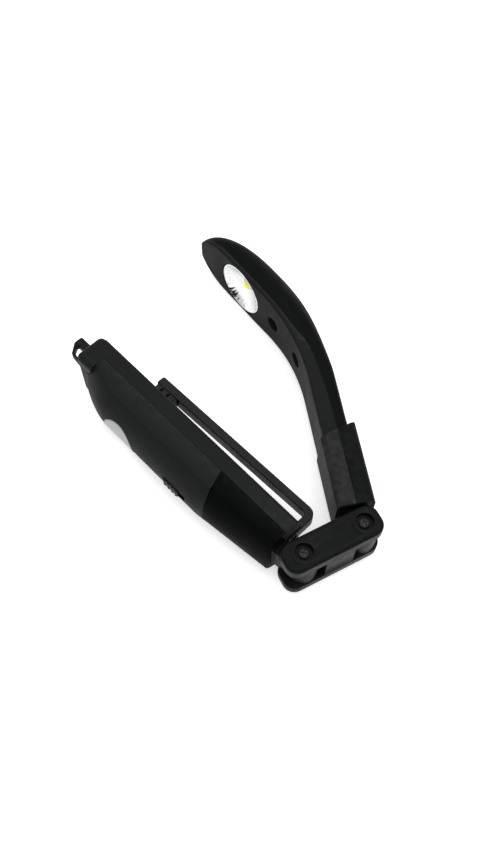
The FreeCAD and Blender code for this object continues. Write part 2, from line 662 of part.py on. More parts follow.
outer_runs = arm_runs(0, face_length - 0.6)
inner_runs = arm_runs(2, face_length - 4.5)
arm_outer = arm_form(outer_runs)
arm_hollow = arm_form(inner_runs, WALL)
sleeve = polygon([(ARM_START, SLEEVE_BACK), (SLEEVE_END + SLEEVE_LEAN, SLEEVE_BACK),
                  (SLEEVE_END - SLEEVE_LEAN, SLEEVE_FACE), (ARM_START, SLEEVE_FACE)],
                 SLEEVE_Z, THICK - SLEEVE_Z)
sleeve = soften(sleeve, 2.6, lambda e: e.BoundBox.XLength > 10)
sleeve_hollow = box(ARM_START - 1, SLEEVE_END - SLEEVE_LEAN - 1, SLEEVE_BACK + SLEEVE_WALL,
                    SLEEVE_FACE - SLEEVE_WALL, SLEEVE_Z + SLEEVE_WALL,
                    THICK - SLEEVE_Z - SLEEVE_WALL)
arm_solid = arm_outer.fuse(sleeve)
arm_space = arm_hollow.fuse(sleeve_hollow)

SPLIT_Y = 1.3
FACE_PLATE = 1.7
split_points = [V(0, SPLIT_Y, 0), V(30, SPLIT_Y, 0), V(ARM_BEND_START - 6, SPLIT_Y + 0.4, 0)]
for run in (66, 76, 86, 96, 110, face_length + 6):
    point, turn = face_point(run)
    sink = FACE_PLATE + 4.4 * (1 - blend(run, 52, 84))
    split_points.append(point - V(-sin(turn), cos(turn), 0) * sink)
split_curve = Part.BSplineCurve()
split_curve.interpolate(split_points)
far = 60.0
split_edges = [split_curve.toShape(), line(split_points[-1], V(split_points[-1].x + 10, far, 0)),
               line(V(split_points[-1].x + 10, far, 0), V(0, far, 0)),
               line(V(0, far, 0), split_points[0])]
face_space = extrude(split_edges, -5, THICK + 5)

LAMP_RUN = ARM_BEND_START - ARM_START + bend_length + LAMP_AT
lamp_point, lamp_turn = face_point(LAMP_RUN)
lamp_out = V(-sin(lamp_turn), cos(lamp_turn), 0)
lamp = V(lamp_point.x, lamp_point.y, MID_Z)
lamp_opening = rod(REFLECTOR_R + 0.15, lamp - lamp_out * 4, lamp + lamp_out * 4)

HOLE_RUNS = (67.9, 86.8)     # screws through the face, from the arm's lower end
HOLE_R = 3.3
WELL_R = 4.2
BOSS_R = 2.6
THREAD_R = 0.9


def face_axis(run):
    """Middle of the face at a length along the arm, and the way out of it."""
    point, turn = face_point(run)
    return V(point.x, point.y, MID_Z), V(-sin(turn), cos(turn), 0)


screws = []
arm_face = arm_solid.common(face_space).cut(arm_space).cut(lamp_opening)
arm_back = arm_solid.cut(face_space).cut(arm_space)
for run in HOLE_RUNS:
    centre, out = face_axis(run)
    shank = rod(THREAD_R, centre - out * 8.4, centre - out * 3.4)
    screws.append(shank.fuse(rod(HEAD_R - 0.05, centre - out * 4.4, centre - out * 3.2)))
    well = rod(WELL_R, centre - out * 5.6, centre - out * 0.6)
    hole = rod(HOLE_R, centre - out * 4.6, centre + out * 3)
    arm_face = arm_face.fuse(well).cut(hole)
    arm_face = arm_face.cut(rod(THREAD_R + 0.1, centre - out * 7, centre))
    boss = rod(BOSS_R, centre - out * (arm_thickness(run) - 1.0), centre - out * 5.7)
    arm_back = arm_back.fuse(boss).cut(rod(THREAD_R, centre - out * 8.6, centre - out * 3))
parts["arm_face_shell"] = arm_face.removeSplitter()
parts["arm_back_shell"] = arm_back.removeSplitter()
parts["face_screws"] = group(screws)


def bowl_radius(depth):
    """Inner radius of the bowl, a depth below the face."""
    return REFLECTOR_R * sqrt(max(1 - depth / (REFLECTOR_DEPTH * 1.06), 0.0)) - 0.3


def turned(profile):
    """Solid of revolution about the lamp axis from (radius, height) points."""
    points = [V(r, h, 0) for r, h in profile]
    face = Part.Face(Part.makePolygon(points + points[:1]))
    solid = face.revolve(V(0, 0, 0), V(0, 1, 0), 360)
    solid.rotate(V(0, 0, 0), UP, degrees(lamp_turn))
    solid.translate(lamp)
    return solid


BOWL_STEPS = 9
BOWL_TOP = 0.35             # the bowl starts this far below the face
BOWL_WALL = 0.7
LIP_TOP = -0.15
LIP_UNDER = -1.4
LED_HOLE_R = 2.8
inner_wall = []
for index in range(BOWL_STEPS + 1):
    depth = BOWL_TOP + (REFLECTOR_DEPTH - BOWL_TOP) * index / BOWL_STEPS
    inner_wall.append((max(bowl_radius(depth), LED_HOLE_R), -depth))
outer_wall = [(r + BOWL_WALL, h) for r, h in reversed(inner_wall)]
lip = [(REFLECTOR_R, LIP_UNDER), (REFLECTOR_R, LIP_TOP), (inner_wall[0][0], LIP_TOP)]
parts["reflector"] = turned(inner_wall + outer_wall[:-1] + [(outer_wall[-2][0], LIP_UNDER)] + lip)

board_depth = REFLECTOR_DEPTH + 0.1
CHIP_HALF = 1.9
DOME_R = 1.6


def on_lamp_axis(radius, depth0, depth1):
    """Round bar on the lamp axis between two depths below the face."""
    return rod(radius, lamp - lamp_out * depth1, lamp - lamp_out * depth0)


parts["led_board"] = on_lamp_axis(5.0, board_depth, board_depth + 1.0)
base = box(-CHIP_HALF, CHIP_HALF, -board_depth, -board_depth + 0.9, -CHIP_HALF, CHIP_HALF)
base.rotate(V(0, 0, 0), UP, degrees(lamp_turn))
base.translate(lamp)
parts["led_chip"] = base
dome = Part.makeSphere(DOME_R, lamp - lamp_out * (board_depth - 0.9))
keep = on_lamp_axis(3.0, 0, board_depth - 0.9)
parts["led_dome"] = dome.common(keep)

LEAD_Y = -0.5
LEAD_R = 0.5
LEAD_SPREAD = 5.5
leads = []
for z in (MID_Z - LEAD_SPREAD, MID_Z + LEAD_SPREAD):
    leads.append(rod(LEAD_R, V(13.0, LEAD_Y, z), V(ARM_BEND_START + 6, LEAD_Y, z)))
parts["arm_leads"] = group(leads)

for name in ("arm_face_shell", "arm_back_shell", "face_screws", "reflector", "led_board",
             "led_chip", "led_dome", "arm_leads"):
    parts[name] = placed(parts[name], arm_pivot, ARM_ANGLE)

# ---- write --------------------------------------------------------------------------
os.makedirs("parts", exist_ok=True)
for name, shape in parts.items():
    shape.exportStep("parts/" + name + ".step")
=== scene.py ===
import json
import logging
from dataclasses import dataclass
from enum import Enum
from math import asin, atan2, cos, hypot, pi, radians, sin, sqrt, tan
from typing import Any, Callable, Sequence

import bmesh
import bpy
from mathutils import Matrix, Vector


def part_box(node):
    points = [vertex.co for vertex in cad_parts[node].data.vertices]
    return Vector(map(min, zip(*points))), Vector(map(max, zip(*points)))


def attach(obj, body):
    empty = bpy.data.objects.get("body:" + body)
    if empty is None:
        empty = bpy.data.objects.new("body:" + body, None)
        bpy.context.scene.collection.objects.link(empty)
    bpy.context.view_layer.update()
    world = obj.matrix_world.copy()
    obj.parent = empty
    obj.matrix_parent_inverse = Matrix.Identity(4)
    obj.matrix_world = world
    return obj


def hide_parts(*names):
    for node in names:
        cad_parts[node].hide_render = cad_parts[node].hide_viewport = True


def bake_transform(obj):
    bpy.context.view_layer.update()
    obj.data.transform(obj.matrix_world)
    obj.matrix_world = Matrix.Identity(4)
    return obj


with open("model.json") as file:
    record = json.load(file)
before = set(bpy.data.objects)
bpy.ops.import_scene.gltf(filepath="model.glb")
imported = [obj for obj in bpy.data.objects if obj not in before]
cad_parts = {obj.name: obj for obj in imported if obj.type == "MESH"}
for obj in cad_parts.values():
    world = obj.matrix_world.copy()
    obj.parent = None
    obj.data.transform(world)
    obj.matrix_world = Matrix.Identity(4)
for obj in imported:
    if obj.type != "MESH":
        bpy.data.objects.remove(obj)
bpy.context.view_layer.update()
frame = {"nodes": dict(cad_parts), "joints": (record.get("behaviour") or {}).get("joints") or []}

log = logging.getLogger("reading_light")

MILLIMETRE = 0.001
Colour = tuple[float, float, float]
Outline = list[tuple[float, float]]
Ring = list[Vector]
Solid = bpy.types.Object


class Body(Enum):
    """Moving bodies of the frame."""

    BODY = "body"
    COVER = "cover"
    SWITCH = "switch"
    CLIP = "clip"
    LINK = "link"
    ARM = "arm"


class Merge(Enum):
    """Ways to combine two solids."""

    CUT = "DIFFERENCE"
    JOIN = "UNION"
    KEEP = "INTERSECT"


# ---- frame measures -----------------------------------------------------------------
def node_box(node: str) -> tuple[Vector, Vector]:
    """Lowest and highest corner of a frame node, in millimetres."""
    low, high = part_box(node)
    return low / MILLIMETRE, high / MILLIMETRE


def hinge_at(joint: str) -> Vector:
    """Place of a hinge in millimetres, on the plane z = 0."""
    found = next(j for j in frame["joints"] if j["name"] == joint)
    x, y, _ = found["pos_m"]
    return Vector((x, y, 0.0)) / MILLIMETRE


THICK = node_box("clip_side_shell")[1].z
MID_Z = THICK / 2
BODY_PIVOT = hinge_at("body_pivot")
ARM_PIVOT = hinge_at("arm_pivot")


# ---- outlines -----------------------------------------------------------------------
def step_between(value: float, start: float, end: float) -> float:
    """Smooth step from 0 at start to 1 at end."""
    share = min(max((value - start) / (end - start), 0.0), 1.0)
    return share * share * (3 - 2 * share)


def rounded(corners: Sequence[tuple[float, float, float]], steps: int = 6) -> Outline:
    """Closed outline with each corner rounded.

    Args:
        corners: (x, y, radius) of each corner in order.
        steps: Stretches in each rounding.

    Returns:
        The outline's points.
    """
    points: Outline = []
    count = len(corners)
    for index, (x, y, radius) in enumerate(corners):
        before, after = corners[index - 1], corners[(index + 1) % count]
        if radius <= 0:
            points.append((x, y))
            continue
        back = Vector((before[0] - x, before[1] - y)).normalized()
        on = Vector((after[0] - x, after[1] - y)).normalized()
        half_angle = back.angle(on) / 2
        centre = Vector((x, y)) + (back + on).normalized() * (radius / sin(half_angle))
        start = Vector((x, y)) + back * (radius / tan(half_angle)) - centre
        turn = pi - 2 * half_angle
        way = 1.0 if back.x * on.y - back.y * on.x < 0 else -1.0
        for step in range(steps + 1):
            angle = way * turn * step / steps
            points.append((centre.x + start.x * cos(angle) - start.y * sin(angle),
                           centre.y + start.x * sin(angle) + start.y * cos(angle)))
    return points


def rectangle(x0: float, x1: float, y0: float, y1: float, radius: float = 0.0) -> Outline:
    """Rectangle with rounded corners."""
    return rounded([(x0, y0, radius), (x1, y0, radius), (x1, y1, radius), (x0, y1, radius)])


def smooth_line(points: Sequence[tuple[float, float]], steps: int = 6) -> Outline:
    """Curve through points, with an even tangent at each of them."""
    ends = [points[0], *points, points[-1]]
    curve: Outline = []
    for index in range(1, len(ends) - 2):
        a, b, c, d = (Vector(ends[index + offset]) for offset in (-1, 0, 1, 2))
        for step in range(steps):
            t = step / steps
            place = 0.5 * (2 * b + (c - a) * t + (2 * a - 5 * b + 4 * c - d) * t * t
                           + (3 * b - a - 3 * c + d) * t ** 3)
            curve.append((place.x, place.y))
    return [*curve, points[-1]]


# ---- solids -------------------------------------------------------------------------
def solid_from(name: str, points: Sequence[Vector], faces: Sequence[Sequence[int]]) -> Solid:
    """Mesh object with merged doubles and outward normals."""
    mesh = bpy.data.meshes.new(name)
    mesh.from_pydata([tuple(point) for point in points], [], faces)
    return object_of(name, tidied(mesh))


def tidied(mesh: bpy.types.Mesh, gap: float = 1e-4) -> bpy.types.Mesh:
    """Merge doubles in a mesh and point its faces outwards."""
    work = bmesh.new()
    work.from_mesh(mesh)
    bmesh.ops.remove_doubles(work, verts=work.verts, dist=gap)
    bmesh.ops.dissolve_degenerate(work, edges=work.edges, dist=gap)
    bmesh.ops.recalc_face_normals(work, faces=work.faces)
    work.to_mesh(mesh)
    work.free()
    return mesh


def object_of(name: str, mesh: bpy.types.Mesh) -> Solid:
    """New object in the scene for a mesh."""
    made = bpy.data.objects.new(name, mesh)
    bpy.context.scene.collection.objects.link(made)
    return made


def loft(rings: Sequence[Ring], name: str = "form") -> Solid:
    """Closed solid through rings that have the same number of points."""
    count = len(rings[0])
    points = [point for ring in rings for point in ring]
    faces: list[tuple[int, ...]] = []
    for ring in range(len(rings) - 1):
        low = ring * count
        for index in range(count):
            after = (index + 1) % count
            faces.append((low + index, low + after, low + count + after, low + count + index))
    faces.append(tuple(range(count)))
    faces.append(tuple(range(len(points) - count, len(points))))
    return solid_from(name, points, faces)


def prism(outline: Outline, z0: float, z1: float) -> Solid:
    """Solid over an outline, from one height to another."""
    return loft([[Vector((x, y, z)) for x, y in outline] for z in (z0, z1)])


def block(x0: float, x1: float, y0: float, y1: float, z0: float, z1: float) -> Solid:
    """Box-shaped space, used to cut with or to keep within."""
    return prism([(x0, y0), (x1, y0), (x1, y1), (x0, y1)], z0, z1)


def lathe(profile: Sequence[tuple[float, float]], steps: int = 64) -> Solid:
    """Solid turned about Z from a closed profile of (radius, height)."""
    size = len(profile)
    points, faces = [], []
    for step in range(steps):
        angle = 2 * pi * step / steps
        points += [Vector((r * cos(angle), r * sin(angle), h)) for r, h in profile]
        low, high = step * size, ((step + 1) % steps) * size
        for index in range(size):
            after = (index + 1) % size
            faces.append((low + index, high + index, high + after, low + after))
    return solid_from("turned", points, faces)


def moved(solid: Solid, way: Matrix) -> Solid:
    """Carry a solid's mesh through a transform."""
    solid.data.transform(way)
    return solid


def shifted(solid: Solid, x: float, y: float, z: float) -> Solid:
    """Carry a solid's mesh by a distance."""
    return moved(solid, Matrix.Translation((x, y, z)))


def settle(solid: Solid) -> Solid:
    """Turn a solid with its modifiers into a plain mesh."""
    graph = bpy.context.evaluated_depsgraph_get()
    mesh = bpy.data.meshes.new_from_object(solid.evaluated_get(graph), depsgraph=graph)
    solid.modifiers.clear()
    old = solid.data
    solid.data = mesh
    if old.users == 0:
        bpy.data.meshes.remove(old)
    return solid


def discard(solid: Solid) -> None:
    """Remove an object and its mesh."""
    mesh = solid.data
    bpy.data.objects.remove(solid)
    if mesh.users == 0:
        bpy.data.meshes.remove(mesh)


def combined(solid: Solid, tool: Solid, how: Merge, keep_tool: bool = False) -> Solid:
    """Combine two solids.

    Args:
        solid: The solid that is changed.
        tool: The solid that it is combined with.
        how: Cut, join or keep what they share.
        keep_tool: Leave the tool for another use.

    Returns:
        The changed solid, as a plain mesh.
    """
    change = solid.modifiers.new("merge", "BOOLEAN")
    change.operation = how.value
    change.solver = "EXACT"
    change.object = tool
    settle(solid)
    tidied(solid.data)
    if not keep_tool:
        discard(tool)
    return solid


def softened(solid: Solid, width: float, angle: float = 32.0, segments: int = 3) -> Solid:
    """Round the sharp edges and give the flats even shading.

    Args:
        solid: The solid to finish.
        width: How far the rounding reaches over each face.
        angle: Edges that turn by more degrees than this are rounded.
        segments: Stretches in each rounding.

    Returns:
        The same solid, as a plain mesh.
    """
    solid.data.polygons.foreach_set("use_smooth", [True] * len(solid.data.polygons))
    if width > 0:
        bevel = solid.modifiers.new("rounding", "BEVEL")
        bevel.width = width
        bevel.segments = segments
        bevel.limit_method = "ANGLE"
        bevel.angle_limit = radians(angle)
        bevel.miter_outer = "MITER_ARC"
        bevel.use_clamp_overlap = True
    even = solid.modifiers.new("even_shading", "WEIGHTED_NORMAL")
    even.keep_sharp = True
    even.weight = 60
    return settle(solid)


def joined(solids: Sequence[Solid]) -> Solid:
    """One object that holds the meshes of several solids."""
    first, *others = solids
    work = bmesh.new()
    for solid in solids:
        work.from_mesh(solid.data)
    work.to_mesh(first.data)
    work.free()
    for other in others:
        discard(other)
    return first


# ---- shader graph helper ------------------------------------------------------------
class Graph:
    """Short way to add nodes to a tree and to link them."""

    def __init__(self, tree: bpy.types.NodeTree) -> None:
        """Keep the tree that nodes go in."""
        self.tree = tree

    def add(self, kind: str, values: dict[Any, Any] | None = None, **settings: Any) -> Any:
        """Add a node.

        Args:
            kind: The node's type name.
            values: Input name or number to a constant or to a socket that feeds it.
            **settings: The node's own properties.

        Returns:
            The new node.
        """
        node = self.tree.nodes.new(kind)
        for name, value in settings.items():
            setattr(node, name, value)
        for key, value in (values or {}).items():
            if isinstance(value, bpy.types.NodeSocket):
                self.tree.links.new(value, node.inputs[key])
            else:
                node.inputs[key].default_value = value
        return node

    def math(self, operation: str, *terms: Any) -> Any:
        """Arithmetic on numbers or sockets; returns the result's socket."""
        return self.add("ShaderNodeMath", dict(enumerate(terms)), operation=operation).outputs[0]

    def remap(self, value: Any, low: float, high: float, out_low: float, out_high: float) -> Any:
        """Map a range onto another, held at its ends; returns the result's socket."""
        return self.add("ShaderNodeMapRange", {0: value, 1: low, 2: high, 3: out_low, 4: out_high},
                        clamp=True).outputs[0]

    def mix(self, share: Any, first: Any, second: Any) -> Any:
        """Colour mix; returns the result's socket."""
        node = self.add("ShaderNodeMix", {"Factor": share, 6: first, 7: second},
                        data_type="RGBA")
        return node.outputs[2]

    def group(self, tree: bpy.types.NodeTree, values: dict[str, Any]) -> Any:
        """Place a node group with its own values."""
        node = self.tree.nodes.new("ShaderNodeGroup")
        node.node_tree = tree
        for key, value in values.items():
            if isinstance(value, bpy.types.NodeSocket):
                self.tree.links.new(value, node.inputs[key])
            else:
                node.inputs[key].default_value = value
        return node


def rgba(colour: Colour) -> tuple[float, float, float, float]:
    """Colour with full alpha."""
    return (*colour, 1.0)


def effect(name: str, inputs: dict[str, tuple[str, Any]], outputs: dict[str, str]) -> tuple:
    """Empty node group with named sockets.

    Args:
        name: The group's name.
        inputs: Socket name to its type and first value.
        outputs: Socket name to its type.

    Returns:
        The group, a graph on it, its input node and its output node.
    """
    tree = bpy.data.node_groups.new(name, "ShaderNodeTree")
    for label, (kind, value) in inputs.items():
        socket = tree.interface.new_socket(label, in_out="INPUT", socket_type=kind)
        socket.default_value = value
    for label, kind in outputs.items():
        tree.interface.new_socket(label, in_out="OUTPUT", socket_type=kind)
    graph = Graph(tree)
    return tree, graph, graph.add("NodeGroupInput"), graph.add("NodeGroupOutput")


NUMBER = "NodeSocketFloat"
COLOUR = "NodeSocketColor"


class Effects:
    """Surface effects that several finishes share, each a node group built once."""

    def __init__(self) -> None:
        """Build the groups."""
        self.grain = self._mould_grain()
        self.handling = self._handling()
        self.edges = self._edge_rub_and_highlight()
        self.dust = self._dust()
        self.brushing = self._brushing()

    @staticmethod
    def _mould_grain() -> bpy.types.NodeTree:
        """Fine spark-eroded grain of a mould, with faint flow in the plastic."""
        tree, g, source, out = effect(
            "Mould Grain", {"Grain Per Metre": (NUMBER, 5000.0), "Flow": (NUMBER, 0.2)},
            {"Height": NUMBER, "Mottle": NUMBER})
        place = g.add("ShaderNodeTexCoord").outputs["Object"]
        pits = g.add("ShaderNodeTexVoronoi", {"Vector": place,
                                              "Scale": source.outputs["Grain Per Metre"]},
                     feature="SMOOTH_F1")
        speck = g.add("ShaderNodeTexNoise", {"Vector": place, "Detail": 4.0, "Roughness": 0.65,
                                             "Scale": source.outputs["Grain Per Metre"]})
        flow = g.add("ShaderNodeTexNoise", {"Vector": place, "Scale": 60.0, "Detail": 2.0})
        height = g.math("MULTIPLY_ADD", pits.outputs["Distance"], 0.6, speck.outputs["Fac"])
        swell = g.math("MULTIPLY", flow.outputs["Fac"], source.outputs["Flow"])
        g.tree.links.new(g.math("ADD", height, swell), out.inputs["Height"])
        g.tree.links.new(g.remap(speck.outputs["Fac"], 0.35, 0.65, 0.0, 1.0), out.inputs["Mottle"])
        return tree

    @staticmethod
    def _handling() -> bpy.types.NodeTree:
        """Smears where fingers polish the plastic, and fine scratches."""
        tree, g, source, out = effect(
            "Handling", {"Smear Per Metre": (NUMBER, 90.0), "Scratch Amount": (NUMBER, 0.3)},
            {"Smear": NUMBER, "Scratch": NUMBER})
        place = g.add("ShaderNodeTexCoord").outputs["Object"]
        cloud = g.add("ShaderNodeTexNoise", {"Vector": place, "Detail": 5.0, "Distortion": 0.6,
                                             "Scale": source.outputs["Smear Per Metre"]})
        stretch = g.add("ShaderNodeMapping", {"Vector": place, "Rotation": (0.3, 0.5, 0.7),
                                              "Scale": (160.0, 3200.0, 1800.0)})
        hair = g.add("ShaderNodeTexNoise", {"Vector": stretch.outputs[0], "Scale": 1.0,
                                            "Detail": 1.0})
        sparse = g.add("ShaderNodeTexNoise", {"Vector": place, "Scale": 140.0, "Detail": 1.0})
        lines = g.remap(hair.outputs["Fac"], 0.70, 0.76, 0.0, 1.0)
        lines = g.math("MULTIPLY", lines, g.remap(sparse.outputs["Fac"], 0.45, 0.7, 0.0, 1.0))
        g.tree.links.new(g.remap(cloud.outputs["Fac"], 0.35, 0.7, 0.0, 1.0), out.inputs["Smear"])
        g.tree.links.new(g.math("MULTIPLY", lines, source.outputs["Scratch Amount"]),
                         out.inputs["Scratch"])
        return tree

    @staticmethod
    def _edge_rub_and_highlight() -> bpy.types.NodeTree:
        """Mask along outer edges, broken up: real wear, and a painted highlight along the edges.
        """
        tree, g, source, out = effect("Edge Rub", {"Amount": (NUMBER, 0.5)}, {"Rub": NUMBER})
        sharp = g.add("ShaderNodeNewGeometry").outputs["Pointiness"]
        place = g.add("ShaderNodeTexCoord").outputs["Object"]
        broken = g.add("ShaderNodeTexNoise", {"Vector": place, "Scale": 420.0, "Detail": 4.0})
        # Outer edges get the lighter edge colour: partly real wear, partly a painted highlight.
        edge = g.remap(sharp, 0.53, 0.62, 0.0, 1.0)
        edge = g.math("MULTIPLY", edge, g.remap(broken.outputs["Fac"], 0.3, 0.7, 0.15, 1.0))
        g.tree.links.new(g.math("MULTIPLY", edge, source.outputs["Amount"]), out.inputs["Rub"])
        return tree

    @staticmethod
    def _dust() -> bpy.types.NodeTree:
        """Sparse pale specks of lint."""
        tree, g, source, out = effect("Dust", {"Amount": (NUMBER, 0.2)}, {"Dust": NUMBER})
        place = g.add("ShaderNodeTexCoord").outputs["Object"]
        specks = g.add("ShaderNodeTexVoronoi", {"Vector": place, "Scale": 900.0})
        cloud = g.add("ShaderNodeTexNoise", {"Vector": place, "Scale": 70.0, "Detail": 3.0})
        dots = g.remap(specks.outputs["Distance"], 0.05, 0.12, 1.0, 0.0)
        dots = g.math("MULTIPLY", dots, g.remap(cloud.outputs["Fac"], 0.5, 0.68, 0.0, 1.0))
        g.tree.links.new(g.math("MULTIPLY", dots, source.outputs["Amount"]), out.inputs["Dust"])
        return tree

    @staticmethod
    def _brushing() -> bpy.types.NodeTree:
        """Fine drawn lines of rolled or turned metal, along X."""
        tree, g, source, out = effect("Brushing", {"Lines Per Metre": (NUMBER, 9000.0)},
                                      {"Height": NUMBER, "Tarnish": NUMBER})
        place = g.add("ShaderNodeTexCoord").outputs["Object"]
        drawn = g.add("ShaderNodeMapping", {"Vector": place, "Scale": (0.05, 1.0, 1.0)})
        lines = g.add("ShaderNodeTexNoise", {"Vector": drawn.outputs[0], "Detail": 3.0,
                                             "Scale": source.outputs["Lines Per Metre"]})
        stain = g.add("ShaderNodeTexNoise", {"Vector": place, "Scale": 500.0, "Detail": 4.0})
        g.tree.links.new(lines.outputs["Fac"], out.inputs["Height"])
        g.tree.links.new(g.remap(stain.outputs["Fac"], 0.4, 0.7, 0.0, 1.0), out.inputs["Tarnish"])
        return tree


class Finish:
    """A named surface finish that makes its material once."""

    slot: str
    shade: str = ""
    made: bpy.types.Material | None = None

    def start(self) -> tuple[Graph, Any]:
        """New material with an empty Principled surface; returns its graph and shader."""
        material = bpy.data.materials.new(self.shade or self.slot)
        material.use_nodes = True
        material.node_tree.nodes.clear()
        graph = Graph(material.node_tree)
        shader = graph.add("ShaderNodeBsdfPrincipled")
        graph.add("ShaderNodeOutputMaterial", {"Surface": shader.outputs[0]})
        object.__setattr__(self, "made", material)
        return graph, shader

    def paint(self, effects: Effects) -> None:
        """Fill in the material's nodes."""
        raise NotImplementedError

    def material(self, effects: Effects) -> bpy.types.Material:
        """The finish's material, made when first asked for."""
        if self.made is None:
            self.paint(effects)
        return self.made


@dataclass(frozen=True)
class MouldedPlastic(Finish):
    """Injection-moulded black plastic with a mould grain, marks of handling and a painted
    highlight on its edges.
    """

    slot: str
    colour: Colour
    # Lighter colour for scratches and edges: real wear, and on edges also a painted highlight.
    worn_and_highlight_colour: Colour
    roughness: float = 0.45
    polish: float = 0.12
    grain_per_metre: float = 5200.0
    grain_depth: float = 0.00004
    specular: float = 0.16
    coat: float = 0.0
    edge_rub_and_highlight: float = 0.5
    lint: float = 0.06
    shade: str = ""

    def paint(self, effects: Effects) -> None:
        """Grain, smears, scratches, edge wear with a painted edge highlight, and lint over the
        base colour.
        """
        g, shader = self.start()
        grain = g.group(effects.grain, {"Grain Per Metre": self.grain_per_metre, "Flow": 0.15})
        handling = g.group(effects.handling, {"Smear Per Metre": 80.0, "Scratch Amount": 0.5})
        rub_and_highlight = g.group(effects.edges, {"Amount": self.edge_rub_and_highlight})
        dust = g.group(effects.dust, {"Amount": self.lint})
        deep = tuple(0.82 * part for part in self.colour)
        colour = g.mix(grain.outputs["Mottle"], rgba(deep), rgba(self.colour))
        worn_and_highlight_mask = g.math("MAXIMUM", rub_and_highlight.outputs["Rub"], handling.outputs["Scratch"])
        # Lighter colour on scratches (real wear) and on edges (wear and a painted highlight).
        colour = g.mix(worn_and_highlight_mask, colour, rgba(self.worn_and_highlight_colour))
        colour = g.mix(dust.outputs["Dust"], colour, rgba((0.32, 0.32, 0.31)))
        smear = g.math("MULTIPLY", handling.outputs["Smear"], self.polish)
        gloss = g.math("SUBTRACT", self.roughness + self.polish / 2, smear)
        gloss = g.math("SUBTRACT", gloss, g.math("MULTIPLY", rub_and_highlight.outputs["Rub"], 0.10))
        bump = g.add("ShaderNodeBump", {"Height": grain.outputs["Height"], "Strength": 0.5,
                                        "Distance": self.grain_depth})
        g.tree.links.new(colour, shader.inputs["Base Color"])
        g.tree.links.new(gloss, shader.inputs["Roughness"])
        g.tree.links.new(bump.outputs[0], shader.inputs["Normal"])
        shader.inputs["Specular IOR Level"].default_value = self.specular
        shader.inputs["Coat Weight"].default_value = self.coat
        shader.inputs["Coat Roughness"].default_value = 0.12


@dataclass(frozen=True)
class Metal(Finish):
    """Bare or plated metal with drawn lines and slight tarnish."""

    slot: str
    colour: Colour
    tarnished: Colour
    roughness: float = 0.28
    lines_per_metre: float = 9000.0
    line_depth: float = 0.000006
    metallic: float = 1.0

    def paint(self, effects: Effects) -> None:
        """Drawn lines and stains over the metal."""
        g, shader = self.start()
        brushing = g.group(effects.brushing, {"Lines Per Metre": self.lines_per_metre})
        rub_and_highlight = g.group(effects.edges, {"Amount": 0.6})
        stain = g.math("MULTIPLY", brushing.outputs["Tarnish"], 0.5)
        colour = g.mix(stain, rgba(self.colour), rgba(self.tarnished))
        rough = g.math("MULTIPLY_ADD", brushing.outputs["Tarnish"], 0.14, self.roughness)
        rough = g.math("SUBTRACT", rough, g.math("MULTIPLY", rub_and_highlight.outputs["Rub"], 0.08))
        bump = g.add("ShaderNodeBump", {"Height": brushing.outputs["Height"], "Strength": 0.4,
                                        "Distance": self.line_depth})
        g.tree.links.new(colour, shader.inputs["Base Color"])
        g.tree.links.new(rough, shader.inputs["Roughness"])
        g.tree.links.new(bump.outputs[0], shader.inputs["Normal"])
        shader.inputs["Metallic"].default_value = self.metallic


@dataclass(frozen=True)
class CellWrap(Finish):
    """Shrink sleeve of a dry cell: dark with a coppery shoulder and bare steel ends."""

    slot: str
    start_x: float
    end_x: float
    dark: Colour = (0.012, 0.014, 0.02)
    copper: Colour = (0.55, 0.24, 0.10)
    steel: Colour = (0.60, 0.60, 0.58)

    def paint(self, effects: Effects) -> None:
        """Bands along the cell, by the place along X."""
        g, shader = self.start()
        place = g.add("ShaderNodeTexCoord").outputs["Object"]
        along = g.add("ShaderNodeSeparateXYZ", {0: place}).outputs["X"]
        share = g.remap(along, self.start_x, self.end_x, 0.0, 1.0)
        shoulder = g.remap(share, 0.715, 0.72, 0.0, 1.0)
        cap = g.math("ADD", g.remap(share, 0.012, 0.016, 1.0, 0.0),
                     g.remap(share, 0.984, 0.988, 0.0, 1.0))
        print_noise = g.add("ShaderNodeTexNoise", {"Vector": place, "Scale": 2500.0,
                                                   "Detail": 3.0})
        sleeve = g.mix(shoulder, rgba(self.dark), rgba(self.copper))
        sleeve = g.mix(g.remap(print_noise.outputs["Fac"], 0.3, 0.7, 0.0, 0.12), sleeve,
                       rgba((0.2, 0.2, 0.2)))
        colour = g.mix(cap, sleeve, rgba(self.steel))
        bump = g.add("ShaderNodeBump", {"Height": print_noise.outputs["Fac"], "Strength": 0.2,
                                        "Distance": 0.00002})
        g.tree.links.new(colour, shader.inputs["Base Color"])
        g.tree.links.new(g.math("MULTIPLY", cap, 0.9), shader.inputs["Metallic"])
        g.tree.links.new(g.remap(print_noise.outputs["Fac"], 0.3, 0.7, 0.24, 0.34),
                         shader.inputs["Roughness"])
        g.tree.links.new(bump.outputs[0], shader.inputs["Normal"])


